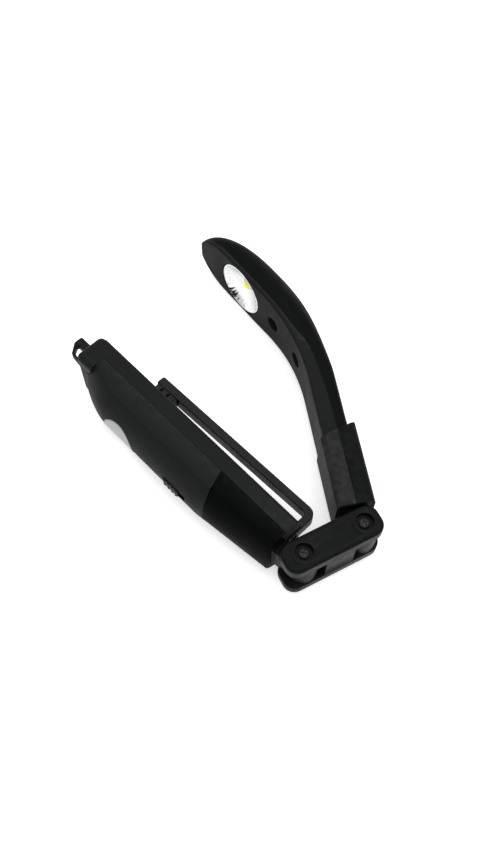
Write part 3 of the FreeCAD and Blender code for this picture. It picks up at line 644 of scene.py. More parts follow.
@dataclass(frozen=True)
class BoardResin(Finish):
    """Circuit board: solder mask over copper tracks."""

    slot: str
    mask: Colour = (0.012, 0.075, 0.03)
    track: Colour = (0.03, 0.16, 0.06)
    pad: Colour = (0.62, 0.55, 0.38)

    def paint(self, effects: Effects) -> None:
        """Tracks and tinned pads under the mask."""
        g, shader = self.start()
        place = g.add("ShaderNodeTexCoord").outputs["Object"]
        cells = g.add("ShaderNodeTexVoronoi", {"Vector": place, "Scale": 420.0},
                      distance="MANHATTAN", feature="DISTANCE_TO_EDGE")
        pads = g.add("ShaderNodeTexVoronoi", {"Vector": place, "Scale": 300.0})
        lines = g.remap(cells.outputs["Distance"], 0.06, 0.09, 1.0, 0.0)
        dots = g.remap(pads.outputs["Distance"], 0.13, 0.16, 1.0, 0.0)
        colour = g.mix(lines, rgba(self.mask), rgba(self.track))
        colour = g.mix(dots, colour, rgba(self.pad))
        bump = g.add("ShaderNodeBump", {"Height": g.math("MAXIMUM", lines, dots),
                                        "Strength": 0.4, "Distance": 0.00004})
        g.tree.links.new(colour, shader.inputs["Base Color"])
        g.tree.links.new(g.math("MULTIPLY", dots, 0.8), shader.inputs["Metallic"])
        g.tree.links.new(g.remap(dots, 0.0, 1.0, 0.35, 0.25), shader.inputs["Roughness"])
        g.tree.links.new(bump.outputs[0], shader.inputs["Normal"])


@dataclass(frozen=True)
class BadgeFilm(Finish):
    """Matt grey film sticker with a thin darker border and paper-like fibre."""

    slot: str
    centre: tuple[float, float]
    radius: float
    film: Colour = (0.31, 0.32, 0.31)
    border: Colour = (0.12, 0.125, 0.125)

    def paint(self, effects: Effects) -> None:
        """Fibre mottling, and a border ring measured from the sticker's middle in X and Z."""
        g, shader = self.start()
        place = g.add("ShaderNodeTexCoord").outputs["Object"]
        parts = g.add("ShaderNodeSeparateXYZ", {0: place})
        across = g.math("SUBTRACT", parts.outputs["X"], self.centre[0])
        up = g.math("SUBTRACT", parts.outputs["Z"], self.centre[1])
        out = g.math("SQRT", g.math("ADD", g.math("MULTIPLY", across, across),
                                    g.math("MULTIPLY", up, up)))
        ring = g.remap(out, self.radius * 0.93, self.radius * 0.95, 0.0, 0.8)
        fibre = g.add("ShaderNodeTexNoise", {"Vector": place, "Scale": 1800.0, "Detail": 6.0})
        pale = tuple(0.86 * part for part in self.film)
        colour = g.mix(g.remap(fibre.outputs["Fac"], 0.35, 0.65, 0.0, 1.0), rgba(pale),
                       rgba(self.film))
        colour = g.mix(ring, colour, rgba(self.border))
        bump = g.add("ShaderNodeBump", {"Height": fibre.outputs["Fac"], "Strength": 0.3,
                                        "Distance": 0.00003})
        g.tree.links.new(colour, shader.inputs["Base Color"])
        g.tree.links.new(g.remap(fibre.outputs["Fac"], 0.35, 0.65, 0.5, 0.62),
                         shader.inputs["Roughness"])
        g.tree.links.new(bump.outputs[0], shader.inputs["Normal"])


@dataclass(frozen=True)
class Phosphor(Finish):
    """Yellow-green phosphor dome of the white diode, with a soft mottle."""

    slot: str
    colour: Colour = (0.72, 0.80, 0.16)
    deep: Colour = (0.48, 0.56, 0.06)
    glow: float = 0.35

    def paint(self, effects: Effects) -> None:
        """Mottled phosphor under clear silicone."""
        g, shader = self.start()
        place = g.add("ShaderNodeTexCoord").outputs["Object"]
        grain = g.add("ShaderNodeTexNoise", {"Vector": place, "Scale": 3000.0, "Detail": 3.0})
        colour = g.mix(g.remap(grain.outputs["Fac"], 0.3, 0.7, 0.0, 1.0), rgba(self.deep),
                       rgba(self.colour))
        g.tree.links.new(colour, shader.inputs["Base Color"])
        g.tree.links.new(colour, shader.inputs["Emission Color"])
        g.tree.links.new(g.remap(grain.outputs["Fac"], 0.3, 0.7, 0.18, 0.3),
                         shader.inputs["Roughness"])
        shader.inputs["Emission Strength"].default_value = self.glow


class Palette:
    """Every finish of the light."""

    def __init__(self) -> None:
        """Settle the finishes and the effects that they share."""
        self.effects = Effects()
        cell_low, cell_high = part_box("upper_cell")
        badge_low, badge_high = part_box("round_badge")
        centre = (badge_low + badge_high) / 2
        # Each plastic's second colour is its lighter edge colour: wear plus a painted edge
        # highlight.
        self.shell = MouldedPlastic("shell_plastic", (0.0074, 0.0083, 0.0079),
                                    (0.022, 0.023, 0.023), 0.52, specular=0.06)
        # Painted shade: the arm's back shell uses a darker copy of the shell plastic (same slot)
        # to stand in for shade on the arm.
        self.arm = MouldedPlastic("shell_plastic", (0.0034, 0.0039, 0.0039),
                                  (0.012, 0.013, 0.013), 0.52, specular=0.025,
                                  shade="arm_plastic")
        self.housing = MouldedPlastic("housing_plastic", (0.0014, 0.0016, 0.0018),
                                      (0.010, 0.011, 0.011), 0.48, specular=0.02)
        self.clip = MouldedPlastic("clip_plastic", (0.0026, 0.0028, 0.0030),
                                   (0.018, 0.018, 0.018), 0.36, grain_depth=0.00001,
                                   specular=0.12)
        self.face = MouldedPlastic("face_plastic", (0.0092, 0.0102, 0.0097),
                                   (0.036, 0.037, 0.036), 0.58, grain_per_metre=4200.0,
                                   grain_depth=0.00006, specular=0.04)
        self.link = MouldedPlastic("link_plastic", (0.0022, 0.0026, 0.0028),
                                   (0.013, 0.013, 0.014), 0.44, specular=0.06)
        self.knob = MouldedPlastic("knob_plastic", (0.003, 0.003, 0.003), (0.014, 0.014, 0.014),
                                   0.40, specular=0.08)
        self.inner = MouldedPlastic("inner_plastic", (0.02, 0.02, 0.02), (0.04, 0.04, 0.04),
                                    0.55, lint=0.05)
        self.sheath = MouldedPlastic("lead_sheath", (0.30, 0.02, 0.015), (0.4, 0.1, 0.1), 0.4,
                                     lint=0.05)
        self.black_screw = Metal("black_screw", (0.010, 0.010, 0.011), (0.02, 0.018, 0.016),
                                 0.36, metallic=0.6)
        self.steel = Metal("screw_steel", (0.50, 0.50, 0.49), (0.30, 0.28, 0.25))
        self.contact = Metal("contact_steel", (0.62, 0.60, 0.55), (0.42, 0.36, 0.26), 0.22)
        self.bush = Metal("bush_steel", (0.52, 0.51, 0.49), (0.33, 0.31, 0.28), 0.18)
        self.can = Metal("capacitor_can", (0.55, 0.55, 0.57), (0.4, 0.4, 0.4), 0.3)
        self.chrome = Metal("bright_chrome", (0.70, 0.71, 0.71), (0.56, 0.57, 0.57), 0.09,
                            lines_per_metre=2500.0, line_depth=0.000002)
        self.ceramic = MouldedPlastic("led_ceramic", (0.70, 0.70, 0.66), (0.8, 0.8, 0.8), 0.4,
                                      lint=0.0, edge_rub_and_highlight=0.2)
        self.board = BoardResin("board_resin")
        self.cell = CellWrap("cell_wrap", cell_low.x, cell_high.x)
        self.badge = BadgeFilm("badge_film", (centre.x, centre.z),
                               (badge_high.x - badge_low.x) / 2)
        self.phosphor = Phosphor("led_phosphor")


class Bench:
    """Where pieces are handed over: carried to metres, finished and set on their bodies."""

    def __init__(self, palette: Palette) -> None:
        """Keep the palette and a count of the pieces."""
        self.palette = palette
        self.count = 0

    def material(self, finish: Finish) -> bpy.types.Material:
        """Material of a finish."""
        return finish.material(self.palette.effects)

    def hand_over(self, solid: Solid, name: str, body: Body | None, finish: Finish,
                  nodes: Sequence[str] = ()) -> Solid:
        """Name a finished solid, dress it and set it on its body.

        Args:
            solid: The finished solid, in millimetres.
            name: The piece's name.
            body: The body that it moves with, or None to leave it on no body.
            finish: Its surface finish.
            nodes: The frame nodes that it stands for.

        Returns:
            The piece, in metres.
        """
        solid.name = name
        solid.data.name = name
        solid.data.transform(Matrix.Scale(MILLIMETRE, 4))
        solid.data.materials.clear()
        solid.data.materials.append(self.material(finish))
        if body is not None:
            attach(solid, body.value)
        if nodes:
            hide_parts(*nodes)
        self.count += 1
        log.info("%-20s %7d faces  %s", name, len(solid.data.polygons), finish.slot)
        return solid

    def refine(self, node: str, body: Body, finish: Finish, rounding: float = 0.15,
               name: str | None = None) -> Solid:
        """Finished copy of a small frame node, with merged facets and rounded edges."""
        mesh = frame["nodes"][node].data.copy()
        mesh.transform(Matrix.Scale(1 / MILLIMETRE, 4))
        work = bmesh.new()
        work.from_mesh(mesh)
        bmesh.ops.remove_doubles(work, verts=work.verts, dist=0.002)
        bmesh.ops.dissolve_limit(work, angle_limit=radians(1.0), verts=work.verts,
                                 edges=work.edges)
        work.to_mesh(mesh)
        work.free()
        solid = softened(object_of(node, mesh), rounding, segments=2)
        return self.hand_over(solid, name or node + "_finished", body, finish, [node])


# ---- geometry trees -----------------------------------------------------------------
class Repeater:
    """Geometry trees for what repeats, each built once with named inputs."""

    def __init__(self) -> None:
        """Build the trees."""
        self.on_points = self._on_points()
        self.round_axis = self._round_axis()
        self.coil = self._coil()
        self.tube = self._tube()

    @staticmethod
    def _start(name: str, inputs: dict[str, tuple[str, Any]]) -> tuple:
        """Empty geometry tree; returns it with a graph and its input node."""
        tree = bpy.data.node_groups.new(name, "GeometryNodeTree")
        tree.interface.new_socket("Guide", in_out="INPUT", socket_type="NodeSocketGeometry")
        for label, (kind, value) in inputs.items():
            socket = tree.interface.new_socket(label, in_out="INPUT", socket_type=kind)
            if value is not None:
                socket.default_value = value
        tree.interface.new_socket("Finish", in_out="INPUT", socket_type="NodeSocketMaterial")
        tree.interface.new_socket("Made", in_out="OUTPUT", socket_type="NodeSocketGeometry")
        graph = Graph(tree)
        return tree, graph, graph.add("NodeGroupInput")

    @staticmethod
    def _end(g: Graph, source: Any, instances: Any) -> None:
        """Make instances real and give them the finish."""
        real = g.add("GeometryNodeRealizeInstances", {0: instances})
        smooth = g.add("GeometryNodeSetShadeSmooth", {0: real.outputs[0]})
        dressed = g.add("GeometryNodeSetMaterial", {0: smooth.outputs[0],
                                                    "Material": source.outputs["Finish"]})
        g.add("NodeGroupOutput", {0: dressed.outputs[0]})

    def _on_points(self) -> bpy.types.NodeTree:
        """A template on every point of the guide, all turned alike."""
        tree, g, source = self._start("Repeat On Points", {
            "Template": ("NodeSocketObject", None),
            "Turn": ("NodeSocketVector", (0.0, 0.0, 0.0)),
            "Turn Step": (NUMBER, 0.0)})
        template = g.add("GeometryNodeObjectInfo", {"Object": source.outputs["Template"]})
        index = g.add("GeometryNodeInputIndex").outputs[0]
        spin = g.math("MULTIPLY", index, source.outputs["Turn Step"])
        spin = g.add("ShaderNodeCombineXYZ", {"Z": spin}).outputs[0]
        turn = g.add("FunctionNodeEulerToRotation", {0: source.outputs["Turn"]})
        own = g.add("FunctionNodeEulerToRotation", {0: spin})
        both = g.add("FunctionNodeRotateRotation", {0: turn.outputs[0], 1: own.outputs[0]},
                     rotation_space="LOCAL")
        copies = g.add("GeometryNodeInstanceOnPoints", {
            "Points": source.outputs["Guide"], "Instance": template.outputs["Geometry"],
            "Rotation": both.outputs[0]})
        self._end(g, source, copies.outputs[0])
        return tree

    def _round_axis(self) -> bpy.types.NodeTree:
        """A template repeated round the Z axis, with its sides merged."""
        tree, g, source = self._start("Repeat Round Axis", {
            "Template": ("NodeSocketObject", None), "Count": ("NodeSocketInt", 24),
            "Merge Gap": (NUMBER, 0.001)})
        template = g.add("GeometryNodeObjectInfo", {"Object": source.outputs["Template"]})
        seeds = g.add("GeometryNodePoints", {"Count": source.outputs["Count"]})
        index = g.add("GeometryNodeInputIndex").outputs[0]
        part = g.math("DIVIDE", 2 * pi, source.outputs["Count"])
        turn = g.add("ShaderNodeCombineXYZ", {"Z": g.math("MULTIPLY", index, part)})
        spin = g.add("FunctionNodeEulerToRotation", {0: turn.outputs[0]})
        copies = g.add("GeometryNodeInstanceOnPoints", {
            "Points": seeds.outputs[0], "Instance": template.outputs["Geometry"],
            "Rotation": spin.outputs[0]})
        real = g.add("GeometryNodeRealizeInstances", {0: copies.outputs[0]})
        whole = g.add("GeometryNodeMergeByDistance", {"Geometry": real.outputs[0],
                                                      "Distance": source.outputs["Merge Gap"]})
        self._end(g, source, whole.outputs[0])
        return tree

    def _coil(self) -> bpy.types.NodeTree:
        """Conical coil of round wire, standing on the plane z = 0."""
        tree, g, source = self._start("Contact Coil", {
            "Turns": (NUMBER, 4.0), "Start Radius": (NUMBER, 3.3), "End Radius": (NUMBER, 2.1),
            "Height": (NUMBER, 3.0), "Wire Radius": (NUMBER, 0.35)})
        spiral = g.add("GeometryNodeCurveSpiral", {
            "Resolution": 26, "Rotations": source.outputs["Turns"],
            "Start Radius": source.outputs["Start Radius"],
            "End Radius": source.outputs["End Radius"], "Height": source.outputs["Height"]})
        wire = g.add("GeometryNodeCurvePrimitiveCircle", {
            "Resolution": 12, "Radius": source.outputs["Wire Radius"]})
        body = g.add("GeometryNodeCurveToMesh", {"Curve": spiral.outputs[0],
                                                 "Profile Curve": wire.outputs[0],
                                                 "Fill Caps": True})
        self._end(g, source, body.outputs[0])
        return tree

    def _tube(self) -> bpy.types.NodeTree:
        """Round tube along the guide's edges."""
        tree, g, source = self._start("Tube Along Path", {"Radius": (NUMBER, 0.5)})
        path = g.add("GeometryNodeMeshToCurve", {0: source.outputs["Guide"]})
        ring = g.add("GeometryNodeCurvePrimitiveCircle", {
            "Resolution": 16, "Radius": source.outputs["Radius"]})
        body = g.add("GeometryNodeCurveToMesh", {"Curve": path.outputs[0],
                                                 "Profile Curve": ring.outputs[0],
                                                 "Fill Caps": True})
        self._end(g, source, body.outputs[0])
        return tree

    @staticmethod
    def run(tree: bpy.types.NodeTree, points: Sequence[Vector], values: dict[str, Any],
            edges: Sequence[tuple[int, int]] = ()) -> Solid:
        """Run a tree on a guide and keep the result as a plain mesh.

        Args:
            tree: The geometry tree.
            points: The guide's points.
            values: Input name to value.
            edges: The guide's edges, as pairs of point numbers.

        Returns:
            The plain solid.
        """
        mesh = bpy.data.meshes.new(tree.name)
        mesh.from_pydata([tuple(point) for point in points], list(edges), [])
        made = object_of(tree.name, mesh)
        change = made.modifiers.new("repeat", "NODES")
        change.node_group = tree
        for item in tree.interface.items_tree:
            if item.in_out == "INPUT" and item.name in values:
                change[item.identifier] = values[item.name]
        settle(made)
        template = values.get("Template")
        if template is not None:
            discard(template)
        return made


# ---- body ---------------------------------------------------------------------------
@dataclass
class BodyShells:
    """Moulded shells of the flat body: clip side, battery cover and end housing."""

    bench: Bench
    wall: float = 1.6
    seam_gap: float = 0.12
    seam_y: float = 3.7
    tail_x: float = -51.0
    nose_x: float = -54.0
    nose_root_x: float = -45.0
    nose_under_y: float = -3.4
    nose_inset: float = 0.02
    nose_corner: float = 2.4
    face_y: float = 10.0
    crown: float = 1.6
    corner: float = 1.6
    belly_y: float = -10.5
    belly_radius: float = 15.3
    crease: float = 2.0
    tail_curve_x: float = -31.0
    housing_x: float = 20.0
    housing_slant: float = 0.3
    end_x: float = 52.0
    clip_width: float = 6.0
    clip_thick: float = 3.0
    knob_x: float = 9.0
    knob_length: float = 8.0
    knob_width: float = 4.6
    knob_travel: float = 3.0
    plug_low_y: float = -2.9
    plug_half: float = 7.2
    edge: float = 0.28
    housing_lead: float = 3.0
    housing_radius: float = 12.9
    radius_growth: float = 0.2
    housing_crease: float = 3.0
    crease_growth: float = 0.12

    def belly_at(self, x: float) -> float:
        """Y of the belly's lowest line."""
        if x < self.tail_curve_x:
            share = (self.tail_curve_x - x) / (self.tail_curve_x - self.tail_x)
            return self.belly_y + 7.5 * share ** 1.6
        if x > self.housing_x:
            return self.belly_y + 4.0 * (x - self.housing_x) / (self.end_x - self.housing_x)
        return self.belly_y

    def ring(self, x: float, inset: float, radius: float, crease: float) -> Ring:
        """Closed ring across X: crowned clip face, flat sides, round belly."""
        half = MID_Z - inset
        top = self.face_y - inset
        crown_r = ((half - self.corner) ** 2 + self.crown ** 2) / (2 * self.crown)
        crown_angle = asin((half - self.corner) / crown_r)
        belly_r = radius - inset
        crease_r = max(crease - inset, 0.5)
        middle = self.belly_at(x) + inset + belly_r
        reach = belly_r - crease_r
        side = half - crease_r
        flat_end = middle - sqrt(reach ** 2 - side ** 2)
        lean = asin(side / reach)
        points: Outline = []
        for step in range(11):
            turn = crown_angle * step / 11
            points.append((top + self.crown - crown_r * (1 - cos(turn)), crown_r * sin(turn)))
        for step in range(6):
            turn = pi / 2 * step / 5
            points.append((top - self.corner * (1 - cos(turn)),
                           half - self.corner * (1 - sin(turn))))
        for step in range(6):
            turn = pi / 2 + (lean - pi / 2) * step / 6
            points.append((flat_end - crease_r * cos(turn), side + crease_r * sin(turn)))
        for step in range(15):
            turn = lean * (1 - step / 14)
            points.append((middle - belly_r * cos(turn), belly_r * sin(turn)))
        mirrored = [(y, -z) for y, z in reversed(points[1:-1])]
        return [Vector((x, y, MID_Z + z)) for y, z in points + mirrored]

    def main_form(self, start: float, end: float, inset: float = 0.0) -> Solid:
        """Long form of the body, which curves up at the tail."""
        steps = 16
        tail = [start + (self.tail_curve_x - start) * sin(pi / 2 * step / steps)
                for step in range(steps)]
        places = tail + [self.tail_curve_x, -20, -5, 8, self.housing_x, end]
        return loft([self.ring(x, inset, self.belly_radius, self.crease) for x in places])

    def housing_form(self, end: float, inset: float = 0.0) -> Solid:
        """Form of the end housing, whose belly flattens towards the end face."""
        start = self.housing_x - self.housing_lead
        places = [start + (end - start) * step / 10 for step in range(11)]
        return loft([self.ring(x, inset, self.housing_radius + self.radius_growth * (x - start),
                               self.housing_crease + self.crease_growth * (x - start))
                     for x in places])

    def nose_form(self) -> Solid:
        """Rounded box of the nose that carries the lanyard loop."""
        rings = []
        for step in range(7):
            turn = pi / 2 * step / 6
            inset = self.nose_corner * (1 - sin(turn))
            rings.append((self.nose_x + self.nose_corner * (1 - cos(turn)), inset))
        rings.append((self.nose_root_x + 4, 0.0))
        low, high = self.nose_inset, THICK - self.nose_inset
        sections = []
        for x, inset in rings:
            corner = max(self.nose_corner - inset, 0.05)
            outline = rectangle(self.nose_under_y + inset, self.face_y - inset, low + inset,
                                high - inset, corner)
            sections.append([Vector((x, y, z)) for y, z in outline])
        return loft(sections)

    def slant_space(self, shift: float, before: bool) -> Solid:
        """Space on one side of the slanted seam between battery cover and end housing."""
        deep = -40.0
        reach = -100.0 if before else 100.0
        low_x = self.housing_x + self.housing_slant * (self.seam_y - deep) + shift
        top = self.seam_y - self.seam_gap
        return prism([(self.housing_x + shift, top), (low_x, deep), (reach, deep), (reach, top)],
                     -5, THICK + 5)

    def build(self) -> None:
        """Build and dress the three shells."""
        palette = self.bench.palette
        main_hollow = self.main_form(self.tail_x + 2.2, self.housing_x + 8, self.wall)
        housing_hollow = self.housing_form(self.end_x - 2, self.wall)
        self.bench.hand_over(self.clip_side(main_hollow, housing_hollow), "clip_side_moulding",
                             Body.BODY, palette.shell, ["clip_side_shell"])
        self.bench.hand_over(self.cover(main_hollow), "battery_cover_moulding", Body.COVER,
                             palette.shell, ["battery_cover"])
        self.bench.hand_over(self.housing(housing_hollow), "end_housing_moulding", Body.BODY,
                             palette.housing, ["end_housing"])
        discard(main_hollow)
        discard(housing_hollow)
        self.badge()

    def clip_side(self, main_hollow: Solid, housing_hollow: Solid) -> Solid:
        """Shell of the clip side with the nose, and the slot for the foot of the clip."""
        wide = 40.0
        form = combined(self.main_form(self.tail_x, self.end_x), self.nose_form(), Merge.JOIN)
        space = combined(block(self.nose_root_x, 60, self.seam_y, wide, -5, THICK + 5),
                         block(-70, self.nose_root_x, self.nose_under_y, wide, -5, THICK + 5),
                         Merge.JOIN)
        shell = combined(form, space, Merge.KEEP)
        shell = combined(shell, main_hollow, Merge.CUT, keep_tool=True)
        shell = combined(shell, housing_hollow, Merge.CUT, keep_tool=True)
        nose_hollow = block(self.nose_x + 2.2, self.nose_root_x + 4,
                            self.nose_under_y + self.wall, self.face_y - self.wall - 0.6,
                            3.0, THICK - 3.0)
        shell = combined(shell, nose_hollow, Merge.CUT)
        half = self.clip_width / 2
        back = self.end_x - self.clip_thick
        foot_wall = block(back - 3.4, self.end_x - 0.4, self.seam_y, self.face_y - 0.3,
                          MID_Z - half - 2, MID_Z + half + 2)
        shell = combined(shell, foot_wall, Merge.JOIN)
        shell = combined(shell, block(back, self.end_x + 5, self.seam_y + 1.0, wide,
                                      MID_Z - half, MID_Z + half), Merge.CUT)
        return softened(shell, self.edge)

    def cover(self, hollow: Solid) -> Solid:
        """Battery cover with the slot that the switch knob stands in."""
        cover = combined(self.main_form(self.tail_x, self.end_x), self.slant_space(
            -self.seam_gap, True), Merge.KEEP)
        nose_space = block(-110, self.nose_root_x + self.seam_gap,
                           self.nose_under_y - 2 * self.seam_gap, 40, -6, THICK + 6)
        cover = combined(cover, nose_space, Merge.CUT)
        cover = combined(cover, hollow, Merge.CUT, keep_tool=True)
        reach = (self.knob_length + self.knob_travel) / 2 + 0.4
        half = self.knob_width / 2 + 0.2
        slot = prism(rectangle(self.knob_x - reach, self.knob_x + reach, MID_Z - half,
                               MID_Z + half, 0.6), 5, 40)
        cover = combined(cover, moved(slot, Matrix.Rotation(pi / 2, 4, "X")), Merge.CUT)
        return softened(cover, self.edge)

    def housing(self, hollow: Solid) -> Solid:
        """End housing with the opening for the knuckle's plug."""
        housing = combined(self.housing_form(self.end_x), self.slant_space(0.0, False),
                           Merge.KEEP)
        housing = combined(housing, hollow, Merge.CUT, keep_tool=True)
        housing = combined(housing, block(self.end_x - 2.5, 60, self.plug_low_y, 12,
                                          MID_Z - self.plug_half, MID_Z + self.plug_half),
                           Merge.CUT)
        return softened(housing, self.edge + 0.07)

    def badge(self) -> None:
        """Round sticker that follows the belly."""
        low, high = node_box("round_badge")
        radius = (high.x - low.x) / 2
        centre = (low + high) / 2
        film, spans = 0.12, 8
        rows: list[Ring] = []
        for lift in (film, 0.0):
            ring_set = []
            for step in range(spans + 1):
                reach = radius * step / spans
                ring_set.append([self.on_belly(centre.x + reach * cos(turn),
                                               centre.z + reach * sin(turn), lift)
                                 for turn in (2 * pi * k / 64 for k in range(64))])
            rows += ring_set if lift else list(reversed(ring_set))
        sticker = loft(rows)
        self.bench.hand_over(softened(sticker, 0.0), "round_badge_film", Body.COVER,
                             self.bench.palette.badge, ["round_badge"])

    def on_belly(self, x: float, z: float, lift: float) -> Vector:
        """Point over the belly, a little proud of it."""
        middle = self.belly_at(x) + self.belly_radius
        across = z - MID_Z
        lean = asin(min(max(across / self.belly_radius, -1.0), 1.0))
        radius = self.belly_radius + lift
        return Vector((x, middle - radius * cos(lean), MID_Z + radius * sin(lean)))


@dataclass
class SpringClip:
    """Pen clip that springs from the end face and lies over the clip side."""

    bench: Bench
    repeater: Repeater
    width: float = 6.0
    thick: float = 3.0
    tip_thick: float = 3.7
    root_y: float = 19.8
    tip_y: float = 18.0
    tip_x: float = -28.0
    heel_x: float = 52.5
    foot_y: float = 4.9
    end_x: float = 52.0
    teeth: int = 3
    tooth_pitch: float = 3.4
    tooth_tip_y: float = 11.75
    screw_y: float = 7.4

    def outer(self, x: float) -> float:
        """Y of the clip's outer side."""
        return self.tip_y + (self.root_y - self.tip_y) * (x - self.tip_x) / (
            self.end_x - self.tip_x)

    def inner(self, x: float) -> float:
        """Y of the clip's inner side, which closes on the body towards the tip."""
        share = (self.end_x - x) / (self.end_x - self.tip_x)
        return self.outer(x) - self.thick - (self.tip_thick - self.thick) * share

    def build(self) -> None:
        """Build the leaf, its teeth and its screw."""
        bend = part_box("clip_arm")[1].x
        back = self.heel_x - self.thick
        outline = rounded([
            (self.tip_x, self.tip_y - self.tip_thick, 0.5), (self.tip_x, self.tip_y, 0.9),
            (self.heel_x, self.root_y, 3.6), (self.heel_x, self.foot_y, 0.0),
            (back, self.foot_y, 0.0), (back, self.inner(back), 1.4)], 8)
        leaf = prism(self.with_steps(outline), MID_Z - self.width / 2, MID_Z + self.width / 2)
        bore = self.along_x(lathe([(0, -1), (1.35, -1), (1.35, 9), (0, 9)], 32), 44)
        sink = self.along_x(lathe([(0, -1.4), (2.1, -1.4), (2.1, 3), (0, 3)], 48), self.heel_x)
        leaf = combined(combined(leaf, bore, Merge.CUT), sink, Merge.CUT)
        leaf = softened(leaf, 0.45)
        clip = self.bench.hand_over(leaf, "spring_clip", None, self.bench.palette.clip,
                                    ["clip_root", "clip_arm"])
        middle = Vector((0, self.root_y, MID_Z)) * MILLIMETRE
        start, end = middle.copy(), middle.copy()
        start.x, end.x = bend + 0.004, bend - 0.012
        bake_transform(clip)
        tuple(start)
        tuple(end)
        self.build_teeth()
        self.build_screw()

    def with_steps(self, outline: Outline) -> Outline:
        """Add points to the long sides of the outline."""
        longest = 4.0
        dense: Outline = []
        for index, (x, y) in enumerate(outline):
            after = outline[(index + 1) % len(outline)]
            pieces = max(1, int(hypot(after[0] - x, after[1] - y) / longest))
            for step in range(pieces):
                share = step / pieces
                dense.append((x + (after[0] - x) * share, y + (after[1] - y) * share))
        return dense

    def along_x(self, solid: Solid, x: float) -> Solid:
        """Lay a turned solid along X on the screw's axis."""
        way = Matrix.Translation((x, self.screw_y, MID_Z)) @ Matrix.Rotation(pi / 2, 4, "Y")
        return moved(solid, way)

    def build_teeth(self) -> None:
        """Gripping teeth under the tip."""
        top = self.tip_y - self.tip_thick + 0.35
        height = top - self.tooth_tip_y
        outline = rounded([(-1.7, 0, 0), (-1.3, -height, 0.35), (0.3, -height, 0.35),
                           (1.7, 0, 0)], 3)
        template = softened(prism(outline, -self.width / 2 + 0.15, self.width / 2 - 0.15), 0.2)
        first = self.tip_x + 2.4
        points = [Vector((first + index * self.tooth_pitch, top, MID_Z))
                  for index in range(self.teeth)]
        teeth = self.repeater.run(self.repeater.on_points, points, {"Template": template})
        self.bench.hand_over(teeth, "clip_teeth", Body.CLIP, self.bench.palette.clip)

    def build_screw(self) -> None:
        """Screw that holds the foot of the clip."""
        head = screw_head(1.95, 1.2)
        shank = lathe([(0, -4.4), (0.7, -4.4), (1.05, -3.8), (1.05, 0.1), (0, 0.1)], 24)
        self.bench.hand_over(self.along_x(joined([head, shank]), self.heel_x - 1.38),
                             "clip_screw_finished", Body.BODY, self.bench.palette.black_screw,
                             ["clip_screw"])


def screw_head(radius: float, height: float) -> Solid:
    """Domed screw head on z = 0 with a cross recess.

    Args:
        radius: Radius of the head.
        height: Height of its dome.

    Returns:
        The head.
    """
    dome = [(0.0, height)]
    for step in range(1, 9):
        turn = pi / 2 * step / 8
        dome.append((radius * sin(turn), height * (0.45 + 0.55 * cos(turn))))
    head = lathe([(0.0, 0.0), *dome, (radius, 0.0)], 48)
    arm, half = radius * 0.56, radius * 0.11
    cross = [(-half, -arm), (half, -arm), (half, -half), (arm, -half), (arm, half), (half, half),
             (half, arm), (-half, arm), (-half, half), (-arm, half), (-arm, -half),
             (-half, -half)]
    head = combined(head, prism(cross, height * 0.4, height + 1), Merge.CUT)
    return softened(head, 0.06, segments=2)


@dataclass
class Nose:
    """Lanyard loop at the nose."""

    bench: Bench

    def build(self) -> None:
        """Flat loop with a rounded triangular eye."""
        low, high = node_box("lanyard_loop")
        root, top = high.x, high.y
        outer = prism(rounded([(root, top, 0), (low.x, top, 0.9), (low.x, 3.2, 0.9),
                               (-61.5, -0.9, 0.9), (root, -1.6, 0)]), low.z, high.z)
        eye = prism(rounded([(root - 0.9, 3.6, 0.5), (low.x + 1.2, 3.6, 0.5), (-61.2, 0.1, 0.5),
                             (root - 0.9, -0.5, 0.5)]), 0, THICK)
        loop = softened(combined(outer, eye, Merge.CUT), 0.5)
        self.bench.hand_over(loop, "lanyard_eye", Body.BODY, self.bench.palette.shell,
                             ["lanyard_loop"])


@dataclass
class SlideSwitch:
    """Slide switch: ribbed knob in the battery cover's slot, and its case inside."""

    bench: Bench
    repeater: Repeater
    ribs: int = 4
    rib_pitch: float = 2.0
    first_rib: float = 1.0
    rib_half: float = 2.1
    face_y: float = -10.85
    length: float = 8.0
    corner: float = 0.7

    def build(self) -> None:
        """Knob, ribs and case."""
        low, high = node_box("switch_knob")
        outline = rectangle(low.x, low.x + self.length, low.z, high.z, self.corner)
        base = prism(outline, -high.y + 1.1, -self.face_y)
        base = moved(base, Matrix.Rotation(pi / 2, 4, "X"))
        finger = block(10.6, 11.7, -8.6, -7.1, MID_Z - 1.0, MID_Z + 1.0)
        knob = softened(combined(base, finger, Merge.JOIN), 0.25)
        self.bench.hand_over(knob, "switch_button", Body.SWITCH, self.bench.palette.knob,
                             ["switch_knob"])
        rib = rounded([(-0.45, 0, 0), (-0.3, -0.28, 0.12), (0.3, -0.28, 0.12), (0.45, 0, 0)], 4)
        template = softened(prism(rib, -self.rib_half, self.rib_half), 0.08)
        points = [Vector((low.x + self.first_rib + index * self.rib_pitch,
                          self.face_y + 0.02, MID_Z))
                  for index in range(self.ribs)]
        ribs = self.repeater.run(self.repeater.on_points, points, {"Template": template})
        self.bench.hand_over(ribs, "switch_button_ribs", Body.SWITCH, self.bench.palette.knob)
        self.bench.refine("switch_case", Body.BODY, self.bench.palette.inner)


